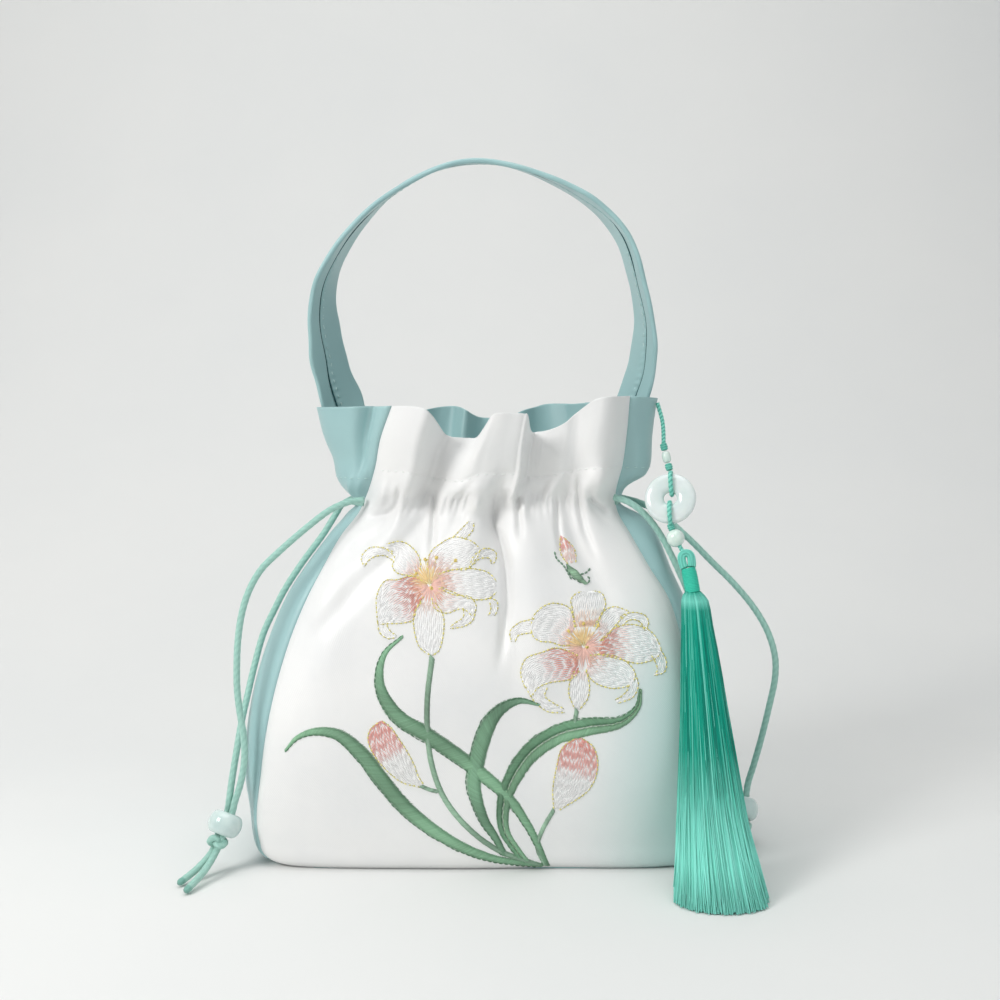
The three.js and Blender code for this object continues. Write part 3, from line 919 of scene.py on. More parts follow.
@dataclass(frozen=True)
class Tuck:
    """A small tuck that the drawn cord presses into a panel at the channel."""

    across: float
    depth: float
    width: float
    rise: float
    fall: float
    lean: float = 0.0

    def press(self, across: np.ndarray, level: np.ndarray) -> np.ndarray:
        """How far the tuck moves each place out.

        Args:
            across: places across, as they are at the channel.
            level: their heights.

        Returns:
            Distances out.
        """
        below = np.maximum(DRAWN_Z - level, 0)
        above = np.maximum(level - DRAWN_Z - 1, 0)
        width = self.width * (1 + below / 13 + above / 11)
        fade = bell(below, self.fall) * bell(above, self.rise)
        return -self.depth * bell(across - self.across - self.lean * below, width) * fade

    @staticmethod
    def dealt(seed: int, count: int, span: tuple[float, float]) -> "tuple[Tuck, ...]":
        """Tucks of dealt sizes.

        Args:
            seed: seed of the deal.
            count: how many.
            span: the places that they lie between.

        Returns:
            The tucks.
        """
        deal = np.random.default_rng(seed)
        places = np.linspace(*span, count) + deal.uniform(-1.8, 1.8, count)
        return tuple(Tuck(place, deal.uniform(1.2, 3.2), deal.uniform(1.1, 1.7), deal.uniform(4, 9),
                          deal.uniform(6, 24), deal.uniform(-0.2, 0.2)) for place in places)


class ClothPanel:
    """A front or back panel of the bag: gathered at the channel, and frilled above it."""

    COLUMNS, BODY_ROWS, FRILL_ROWS = 232, 108, 86
    GATHERS, GATHER_OUT, GATHER_SPREAD = 7, 0.9, 11.0
    CHANNEL_OUT, CHANNEL_Z, CHANNEL_SPREAD = 1.2, 168.0, 5.5
    SEWN_IN, SEWN_UP, SEWN_SPREAD = 0.3, 0.6, 1.4
    CRUMPLE_OUT, CRUMPLE_SPREAD, WAVE_OUT = 0.14, 9.0, 0.16
    SEAM_FREE, SEAM_SINK, SEAM_WIDTH = 5.0, 1.5, 1.5
    SHARE_STEP, LEVEL_STEP = 0.004, 0.5
    WALL, WALL_CLAMP = 0.9, 1.2
    FLAT = (0.2, 0.225)

    def __init__(self, outline: Outline, facing: Facing, edge: Rows, folds: Sequence[Fold],
                 creases: Sequence[Crease | Puff], tucks: Sequence[Tuck], seed: int, lean: Rows) -> None:
        """Cut the panel.

        Args:
            outline: outlines of the bag.
            facing: the way it faces.
            edge: frill's edge, as share across, distance out and height.
            folds: folds below the channel.
            creases: creases and puffs.
            tucks: tucks at the channel.
            seed: seed of the small unevenness.
            lean: how far the frill's folds lean by the time they reach the channel, by share across.
        """
        self.outline, self.facing, self.lean = outline, facing, TableCurve(lean)
        self.edge, self.folds, self.creases, self.tucks = TableCurve(edge), folds, creases, tucks
        deal = np.random.default_rng(seed)
        self.waves = [(*deal.uniform(-0.11, 0.11, 2), deal.uniform(0, 6.3)) for _ in range(9)]
        self.crumples = [(deal.uniform(0.35, 0.95) * deal.choice((-1, 1)), deal.uniform(-0.45, 0.45),
                          deal.uniform(0, 6.3)) for _ in range(12)]
        left, right = outline.seams(np.array(NECK_Z), facing)
        self.neck = float(left), float(right)

    def out(self, share: np.ndarray, level: np.ndarray, x: np.ndarray) -> np.ndarray:
        """How far the cloth stands out of the plain outline.

        Args:
            share: shares across the panel.
            level: heights before the frill's edge is shaped.
            x: places across in millimetres.

        Returns:
            Distances out.
        """
        rise = frill_rise(level)
        leant = share + self.lean(share)[..., 0] * (1 - rise)
        out = self.edge(leant)[..., 0] * ease(level, NECK_Z - 8, NECK_Z + 6) * (0.5 + 0.5 * rise)
        out += self.GATHER_OUT * np.sin(2 * math.pi * self.GATHERS * share) * bell(
            level - NECK_Z, self.GATHER_SPREAD)
        below = np.maximum(NECK_Z - level, 0)
        for fold in self.folds:
            fade = np.where(level > NECK_Z, bell(level - NECK_Z, self.GATHER_SPREAD), bell(below, fold.reach))
            out += fold.out * bell(share - fold.across - fold.drift * below / fold.reach, fold.width) * fade
        at_neck = self.neck[0] + (self.neck[1] - self.neck[0]) * share
        for tuck in self.tucks:
            out += tuck.press(at_neck, level)
        for crease in self.creases:
            out += crease.press(x, level)
        out += self.CHANNEL_OUT * bell(level - self.CHANNEL_Z, self.CHANNEL_SPREAD)
        out -= self.SEWN_IN * bell(level - STITCH_Z - self.SEWN_UP, self.SEWN_SPREAD)
        near = self.CRUMPLE_OUT * bell(level - NECK_Z, self.CRUMPLE_SPREAD)
        for slope_x, slope_z, phase in self.crumples:
            out += near * np.sin(slope_x * at_neck + slope_z * level + phase)
        for slope_x, slope_z, phase in self.waves:
            out += self.WAVE_OUT * np.sin(slope_x * x + slope_z * level + phase)
        return out

    def places(self, share: np.ndarray, level: np.ndarray) -> np.ndarray:
        """Places on the panel's outer face.

        Args:
            share: shares across.
            level: heights before the frill's edge is shaped.

        Returns:
            Places in millimetres.
        """
        left, right = self.outline.seams(level, self.facing)
        x = left + (right - left) * share
        from_seam = np.minimum(share, 1 - share) * (right - left)
        free = 1 - bell(from_seam, self.SEAM_FREE)
        tuck = self.SEAM_SINK * bell(from_seam, self.SEAM_WIDTH) + BASE_SINK * bell(level, BASE_SPREAD)
        y = -self.outline.depth(x, level) - self.out(share, level, x) * free + tuck
        rise = frill_rise(level)
        z = level + rise * (self.edge(share)[..., 1] - TOP_Z)
        return np.stack([x * self.facing.value, y * self.facing.value, z], axis=-1)

    def rows(self) -> np.ndarray:
        """Levels of the panel's rows, closer at the base and in the frill."""
        lower = 150.0 * np.linspace(0, 1, self.BODY_ROWS + 1) ** 1.2
        return np.concatenate([lower, np.linspace(150.0, TOP_Z, self.FRILL_ROWS + 1)[1:]])

    def spot(self, x: np.ndarray, z: np.ndarray, lift: np.ndarray | float) -> tuple[np.ndarray, np.ndarray]:
        """Places on the cloth over given places across and up, and the ways out of it.

        Args:
            x: places across.
            z: heights.
            lift: distance out of the cloth.

        Returns:
            Places in millimetres, and ways out.
        """
        left, right = self.outline.seams(z, self.facing)
        share = (x - left) / (right - left)
        down, up = self.places(share, z - self.LEVEL_STEP), self.places(share, z + self.LEVEL_STEP)
        before, after = self.places(share - self.SHARE_STEP, z), self.places(share + self.SHARE_STEP, z)
        way = unit(np.cross(after - before, up - down))
        return self.places(share, z) + way * np.asarray(lift)[..., None], way

    def build(self, name: str, face: bpy.types.Material, lining: bpy.types.Material, slot: str,
              node: str) -> bpy.types.Object:
        """Make the panel.

        Args:
            name: its name.
            face: outer finish.
            lining: inner finish.
            slot: material slot; not used.
            node: CAD node that it stands for.

        Returns:
            The panel, with its wall.
        """
        level = self.rows()
        last = len(level) - 1

        def surface(share: np.ndarray, along: np.ndarray) -> np.ndarray:
            """Places on the panel."""
            return self.places(share, level[np.rint(along * last).astype(int)])

        bm = Sculptor.grid(self.COLUMNS, last, surface, self.FLAT)
        Sculptor.face_out(bm)
        piece = add_piece(name, bm, face, [node])
        piece.data.materials.append(lining)
        wall = piece.modifiers.new("wall", "SOLIDIFY")
        wall.thickness, wall.offset, wall.thickness_clamp = self.WALL * MM, -1.0, self.WALL_CLAMP
        wall.material_offset = 1
        return piece


class GussetStrip:
    """The aqua strip down one side, under the base and up the other side."""

    COLUMNS = 46
    TUCKED_IN = 0.9
    WALL, WALL_CLAMP = 0.9, 1.5
    FLAT = (0.09, 0.62)
    TUCK_Z, TUCK_WIDTH, TUCK_ABOVE = 168.0, 0.05, 0.6
    SHOULDER_Z, SHOULDER_UNDER, SHOULDER_OVER = 151.0, 20.0, 7.5
    FLANK_Z, FLANK_SPREAD = 22.0, 14.0
    UPPER_START, UPPER_END = 4.0, 16.0
    DRAWN_IN, DRAWN_IN_Z, DRAWN_IN_SPREAD = 3.0, 158.5, 3.0
    SEAM_FREE, SEAM_SINK, SEAM_WIDTH = 4.0, 1.3, 1.5
    PLEATS = ((-1, 0.13, -6.5, 0.035, 208, 30), (-1, 0.5, -3, 0.16, 159, 7), (1, 0.5, -3, 0.16, 159, 7))
    POUCH = {Side.LEFT: (2.4, 166.5, 4.5, 6.0, -2.2), Side.RIGHT: (6.8, 172.0, 4.2, 14.0, 0.0)}
    SHOULDER = {Side.LEFT: 0.0, Side.RIGHT: 8.5}
    FLANK = {Side.LEFT: -3.4, Side.RIGHT: 0.0}

    def __init__(self, outline: Outline, front: ClothPanel, back: ClothPanel) -> None:
        """Fit the strip between its panels.

        Args:
            outline: outlines of the bag.
            front: the front panel.
            back: the back panel.
        """
        self.outline, self.front, self.back = outline, front, back
        deal = np.random.default_rng(31)
        self.tucks = deal.uniform(0.06, 0.94, (2, 9))
        self.sizes = deal.uniform(-1.3, 1.3, (2, 9))
        self.reaches = deal.uniform(6, 30, (2, 9))

    def side_row(self, level: float, side: Side) -> np.ndarray:
        """One row of the strip on a side.

        Args:
            level: height.
            side: which side.

        Returns:
            Its places, front to back.
        """
        points, way = self.outline.arc(level, side, self.COLUMNS)
        share = np.linspace(0, 1, self.COLUMNS + 1)
        out = np.zeros_like(share)
        for sign, across, depth, width, height, spread in self.PLEATS:
            if sign == side.value:
                out += depth * bell(share - across, width) * bell(level - height, spread)
        at = 0 if side is Side.LEFT else 1
        for place, size, reach in zip(self.tucks[at], self.sizes[at], self.reaches[at]):
            far = level - self.TUCK_Z
            fade = bell(far, reach if far < 0 else reach * self.TUCK_ABOVE)
            out += size * bell(share - place, self.TUCK_WIDTH) * fade
        fullness, middle, under, over, upper = self.POUCH[side]
        out += fullness * bell(level - middle, under if level < middle else over)
        above = level - self.SHOULDER_Z
        out += self.SHOULDER[side] * bell(above, self.SHOULDER_UNDER if above < 0 else self.SHOULDER_OVER)
        out += self.FLANK[side] * bell(level - self.FLANK_Z, self.FLANK_SPREAD)
        out += upper * float(ease(level, middle + self.UPPER_START, middle + self.UPPER_END))
        out -= self.DRAWN_IN * bell(level - self.DRAWN_IN_Z, self.DRAWN_IN_SPREAD)
        length = np.linalg.norm(np.diff(points, axis=0), axis=1).sum()
        from_seam = np.minimum(share, 1 - share) * length
        out = out * (1 - bell(from_seam, self.SEAM_FREE)) - self.SEAM_SINK * bell(from_seam, self.SEAM_WIDTH)
        out -= BASE_SINK * float(bell(level, BASE_SPREAD))
        near, far = (0.0, 1.0) if side is Side.LEFT else (1.0, 0.0)
        edge = self.front.edge(near)[1] * (1 - share) + self.back.edge(far)[1] * share
        rise = float(frill_rise(level))
        return np.column_stack([points + way * out[:, None], level + rise * (edge - TOP_Z)])

    def rows(self) -> np.ndarray:
        """All rows of the strip, from the left edge to the right edge.

        Returns:
            Rows by columns of places in millimetres.
        """
        rising = np.concatenate([150 * np.linspace(0, 1, 70) ** 1.2, np.linspace(151, TOP_Z, 58)])
        left = [self.side_row(level, Side.LEFT) for level in rising[::-1]]
        right = [self.side_row(level, Side.RIGHT) for level in rising]
        base = []
        for share in np.linspace(0, 1, 41)[1:-1]:
            row = left[-1] * (1 - share) + right[0] * share
            row[:, 1] *= (float(self.outline.depth(row[0, 0], 0.0)) - self.TUCKED_IN) / abs(row[0, 1])
            base.append(row)
        strip = np.array(left + base + right)
        for after, column in ((-1, 0), (0, 0), (0, 1), (1, 0), (1, 1)):
            row = len(left) + after
            for end in (row, -1 - row):
                strip[end, [column, -1 - column], 2] += self.WALL
        return strip

    def build(self, palette: Palette) -> bpy.types.Object:
        """Make the strip.

        Args:
            palette: the finishes.

        Returns:
            The strip, with its wall.
        """
        rows = self.rows()
        last = len(rows) - 1

        def surface(share: np.ndarray, along: np.ndarray) -> np.ndarray:
            """Places read from the rows."""
            return rows[np.rint(along * last).astype(int), np.rint(share * self.COLUMNS).astype(int)]

        bm = Sculptor.grid(self.COLUMNS, last, surface, self.FLAT)
        Sculptor.face_out(bm)
        piece = add_piece("gusset_cloth", bm, palette.aqua, ["gusset_strip"])
        wall = piece.modifiers.new("wall", "SOLIDIFY")
        wall.thickness, wall.offset, wall.thickness_clamp = self.WALL * MM, -1.0, self.WALL_CLAMP
        return piece


@dataclass
class ChannelStitches:
    """Running stitches that close the top of the channel."""

    length: float = 2.3
    gap: float = 1.5
    spacing: float = 0.3
    thread: str = "f1f3f1"
    gusset_thread: str = "b9d8d6"
    lifts: Sequence[float] = (-0.1, 0.14, 0.14, -0.1)
    size: tuple[float, float] = (0.42, 0.32)
    gusset_levels: Sequence[tuple[Side, float]] = ((Side.LEFT, 171.5), (Side.RIGHT, 175.0))

    def sew(self, book: ThreadBook, row: np.ndarray, sign: int, thread: str) -> None:
        """Sew along a row of the cloth.

        Args:
            book: the book that the stitches go in.
            row: places on the cloth's outer face.
            sign: one where the outer face lies to the right of the row, else minus one.
            thread: colour of the thread.
        """
        route = Route(row, self.spacing)
        level = np.zeros(len(route.points))
        out = sign * unit(np.column_stack([route.ahead[:, 1], -route.ahead[:, 0], level]))
        step = round((self.length + self.gap) / self.spacing)
        starts = np.arange(6, len(route.points) - step, step)
        picks = starts[:, None] + np.linspace(0, self.length / self.spacing, 4).astype(int)
        line = route.points[picks] + out[picks] * np.array(self.lifts)[:, None]
        book.lay(line, out[picks], np.array(self.size), np.array([tint(thread)] * len(starts)))

    def build(self, front: ClothPanel, strip: GussetStrip, palette: Palette) -> list[bpy.types.Object]:
        """Sew the front and both gussets.

        Args:
            front: the front panel.
            strip: the gusset.
            palette: the finishes.

        Returns:
            The stitches on the front, then those on the gussets.
        """
        on_front, on_gusset = ThreadBook(), ThreadBook()
        share = np.linspace(0.02, 0.98, 160)
        self.sew(on_front, front.places(share, np.full(160, STITCH_Z)), 1, self.thread)
        for side, level in self.gusset_levels:
            self.sew(on_gusset, strip.side_row(level, side), side.value, self.gusset_thread)
        pieces = []
        for name, book in (("front_channel_stitches", on_front), ("gusset_channel_stitches", on_gusset)):
            pieces.append(add_piece(name, book.mesh(name), palette.floss))
        return pieces


@dataclass
class HandleStrap:
    """Folded aqua strap with its closing seam on the inner face."""

    width: float = 23.0
    thickness: float = 2.3
    seam: float = 3.6
    line: Rows = (
        (-62, 9.8, 186, 49), (-67, 11.2, 205, 48), (-72.2, 8, 224, 41), (-74.6, 4, 247, 25),
        (-71, 2, 264, 11), (-61, 1, 281, 4), (-43.5, 0, 298.5, -5), (-22, 0, 310.5, -9), (0, 0, 313.5, -8),
        (23, 0, 308.5, -4), (47, 0, 296.5, 3), (62, 1, 281.5, 6), (69.3, 3, 262, 10), (73.5, 5, 242, 17),
        (73, 8, 222, 26), (68.4, 8.7, 205, 33), (63.2, 7.6, 186, 42),
    )
    steps: int = 420
    # colour of the dark line of painted shadow in the seam
    seam_shadow_line: str = "1f5559"
    edge_thread: str = "cfe6e3"
    sewn: Sequence[tuple[int, int, int]] = ((14, 96, 5), (300, 405, 6))

    def frames(self) -> tuple[np.ndarray, np.ndarray, np.ndarray]:
        """Centre, way across to the front and outer face at each step."""
        keys = np.arange(len(self.line))
        table = TableCurve(np.column_stack([keys, np.array(self.line)]))
        rows = table(np.linspace(0, keys[-1], self.steps + 1))
        centre, turn = rows[:, :3], np.radians(rows[:, 3:])
        ahead = unit(np.gradient(centre, axis=0))
        outward = unit(np.column_stack([-ahead[:, 2], np.zeros(len(rows)), ahead[:, 0]]))
        across = np.array([0.0, -1.0, 0.0]) * np.cos(turn) + outward * np.sin(turn)
        return centre, across, unit(np.cross(across, ahead))

    def section(self) -> np.ndarray:
        """Outline of the strap's section.

        Returns:
            Places across and out, once round.
        """
        half, thick = self.width / 2, self.thickness / 2
        flat = half - thick
        bend = np.linspace(-math.pi / 2, math.pi / 2, 9)[1:-1]
        near = self.seam + np.array([1.6, 0.9, 0.45, 0.2, 0.0, -0.2, -0.45, -0.9, -1.6])
        inner = np.concatenate([
            np.linspace(flat, near[0] + 1, 8), near, np.linspace(near[-1] - 1, -flat, 12)])
        outer = np.linspace(-flat, flat, 18)
        return np.concatenate([
            np.column_stack([outer, np.full(18, thick)]),
            np.column_stack([flat + thick * np.cos(bend), -thick * np.sin(bend)]),
            np.column_stack([inner, np.full(len(inner), -thick)]),
            np.column_stack([-flat - thick * np.cos(bend), thick * np.sin(bend)]),
        ])

    def build(self, palette: Palette) -> None:
        """Make the strap, its stitches and a dark line of painted shadow in its seam.

        Args:
            palette: the finishes.
        """
        centre, across, face = self.frames()
        section = self.section()
        count = len(section)
        walked = walk(centre)
        drift = 0.5 * np.sin(walked / 9.0) + 0.35 * np.sin(walked / 4.1 + 1.0)
        kink = [0.4 * np.sin(walked / 5.7 + lag) + 0.3 * np.sin(walked / 2.9 + 2 * lag) for lag in (0.0, 1.7)]

        def surface(share: np.ndarray, along: np.ndarray) -> np.ndarray:
            """Places on the strap, with its seam, puckers and soft crown."""
            column = np.rint(share * count).astype(int) % count
            row = np.rint(along * self.steps).astype(int)
            side, out = section[column, 0].copy(), section[column, 1].copy()
            inner = out < -self.thickness / 2 + 0.01
            off = side - self.seam
            edge = np.where(side > 0, kink[0][row], kink[1][row]) * (np.abs(side) * 2 / self.width) ** 4
            side = side + np.where(inner, drift[row] * bell(off, 4.0), 0) + edge
            pucker = np.sin(walked[row] * 2 * math.pi / 3.4)
            out = out + np.where(inner, 1.0 * bell(off, 0.4) + 0.22 * pucker * bell(off + 2.0, 1.4), 0)
            crown = 0.3 * np.sin(walked[row] / 13.0 + side * 0.12)
            crown = crown + 0.2 * np.sin(walked[row] / 7.3 - side * 0.2)
            return centre[row] + across[row] * side[:, None] + face[row] * (out + crown)[:, None]

        bm = Sculptor.grid(count, self.steps, surface, (0.052, walked[-1] * MM), closed=True)
        Sculptor.close(bm)
        add_piece("handle_strap_cloth", bm, palette.aqua, ["handle_strap"])
        book = ThreadBook()
        inside = -self.thickness / 2
        # painted shadow: a dark teal line laid in the seam's groove, where the folded edges meet
        rows = np.arange(0, self.steps - 3, 3)[:, None] + np.arange(4)
        side = (self.seam + drift[rows])[..., None]
        line = centre[rows] + across[rows] * side + face[rows] * (inside + 0.35)
        book.lay(line, -face[rows], np.array([0.65, 0.5]), np.array([tint(self.seam_shadow_line)] * len(rows)))
        picks = np.concatenate([np.arange(*span) for span in self.sewn])
        near = (picks[:, None] + np.arange(4) * 0.7).astype(int)
        side = (self.seam - 2.3 + drift[near] + 0.3 * np.sin(near * 1.7))[..., None]
        line = centre[near] + across[near] * side + face[near] * (inside - 0.1)
        book.lay(line, -face[near], np.array([0.4, 0.3]), np.array([tint(self.edge_thread)] * len(near)))
        add_piece("handle_seam_stitches", book.mesh("handle_seam_stitches", 0.9), palette.floss)


@dataclass
class Drawstring:
    """Two strands of a drawn cord that leave the bag at one side, with their bead, knot and tails."""

    side: Side
    bead: Place
    axis: Place
    outer: Rows
    inner: Rows
    tails: tuple[Rows, Rows]
    radius: float = 1.5
    plies: int = 3
    pitch: float = 9.5
    hollow: float = 0.91
    ridge: float = 0.11
    melted: float = 3.0
    tip: float = 1.2
    tail_fullness: float = 0.04
    tail_span: tuple[float, float] = (26.0, 18.0)
    spacing: float = 0.9
    crossing_z: float = 159.6
    crossing_in: float = 1.2
    knot_size: float = 1.15
    bead_radius: float = 7.5
    bead_height: float = 10.0
    hole: float = 3.5
    spread: float = 1.75

    def __post_init__(self) -> None:
        """Work out the bead's line."""
        self.down = unit(np.array(self.axis))
        self.centre = np.array(self.bead)
        apart = unit(np.array([self.down[1], -self.down[0], 0.0])) * self.spread
        self.shifts = (-apart, apart)
        self.word = self.side.name.lower()

    def plied(self, angle: np.ndarray, walked: np.ndarray) -> np.ndarray:
        """Radius of the plied cord at an angle, at a length walked."""
        turn = angle - 2 * math.pi * walked / self.pitch
        return self.radius * (self.hollow + self.ridge * np.abs(np.cos(turn * self.plies / 2)) ** 0.7)

    def strand_tube(self, route: Route, sealed: bool) -> bmesh.types.BMesh:
        """Sweep a strand.

        Args:
            route: its line.
            sealed: whether its end is a melted tip.

        Returns:
            The tube, with painted shade between the plies and a darker tone at the melted tip.
        """
        last = route.length

        def radius(angle: np.ndarray, walked: np.ndarray) -> np.ndarray:
            """Plied radius, rounded off at the tip."""
            plain = self.plied(angle, walked)
            if not sealed:
                return plain
            start, end = self.tail_span
            tip = np.sqrt(np.clip((last - walked) / self.tip, 0.12, 1))
            return plain * tip * (1 + self.tail_fullness * ease(walked, last - start, last - end))

        bm = Sculptor.tube(route, 18, radius)
        # painted shade: darker where the skin sinks between the plies; the melted tip is darker in its own
        # right
        apart = np.linalg.norm(Sculptor.places(bm)[:, None] - route.points, axis=2)
        raised = (apart.min(axis=1) / self.radius - self.hollow) / self.ridge
        tones = 0.5 + 0.5 * np.clip(raised, 0, 1)
        if sealed:
            walked = apart.argmin(axis=1) * last / (len(route.points) - 1)
            tones[last - walked < self.melted] = 0.0
        Sculptor.paint(bm, tones)
        return bm

    def build(self, palette: Palette, outline: Outline) -> None:
        """Make the strands, bead, knot and the stretch over the gusset.

        Args:
            palette: the finishes.
            outline: outlines of the bag.
        """
        bead, knot = self._bead(palette), self._knot(palette)
        runs = (self.outer, self.inner)
        for word, way, points, tail in zip(("outer", "inner"), self.shifts, runs, self.tails):
            half = self.down * self.bead_height / 2
            through = [self.centre - half + way, self.centre + half + way]
            route = Route([*points, *through, *tail], self.spacing)
            nodes = [f"drawstring_{self.word}_{word}", f"drawstring_{self.word}_tail_{word}"]
            tube = self.strand_tube(route, True)
            strand = add_piece(f"cord_{self.word}_{word}", tube, palette.cord, nodes)
        points, way = outline.arc(self.crossing_z, self.side, 12)
        crossing = np.column_stack([points - way * self.crossing_in, np.full(13, self.crossing_z)])
        tube = self.strand_tube(Route(crossing, self.spacing), False)
        add_piece(f"cord_{self.word}_crossing", tube, palette.cord,
                  [f"drawstring_{self.word}_crossing"])

    def _bead(self, palette: Palette) -> bpy.types.Object:
        """Porcelain rondelle, with a round edge at its hole."""
        turn = np.linspace(-math.pi / 2, math.pi / 2, 25)
        wide, tall = self.bead_radius - self.hole - 0.6, self.bead_height / 2
        arc = [(self.hole + 0.6 + wide * abs(math.cos(t)) ** 0.9, tall * math.sin(t)) for t in turn]
        inner = [(self.hole, tall - 0.9), (self.hole, 0.0), (self.hole, 0.9 - tall)]
        bm = Sculptor.turned([*arc, *inner], 56, self.centre, self.down, ring=True)
        name = f"porcelain_bead_{self.word}"
        return add_piece(name, bm, palette.porcelain, [f"bead_{self.word}"])

    def _knot(self, palette: Palette) -> bpy.types.Object:
        """Overhand knot that stops the bead."""
        place = self.centre + self.down * (self.bead_height / 2 + 3.2)
        side = unit(np.cross(self.down, (0.0, 1.0, 0.0)))
        front = np.cross(self.down, side)
        turn = np.linspace(0, 2 * math.pi, 121)
        flat = np.column_stack([np.sin(turn) + 2 * np.sin(2 * turn), np.cos(turn) - 2 * np.cos(2 * turn),
                                -1.15 * np.sin(3 * turn)])
        line = place + self.knot_size * (flat[:, :1] * side + flat[:, 1:2] * front + flat[:, 2:] * self.down)
        route = Route(line[:-1], 0.8)
        bm = self.strand_tube(route, False)
        return add_piece(f"cord_knot_{self.word}", bm, palette.cord, [f"knot_{self.word}"])


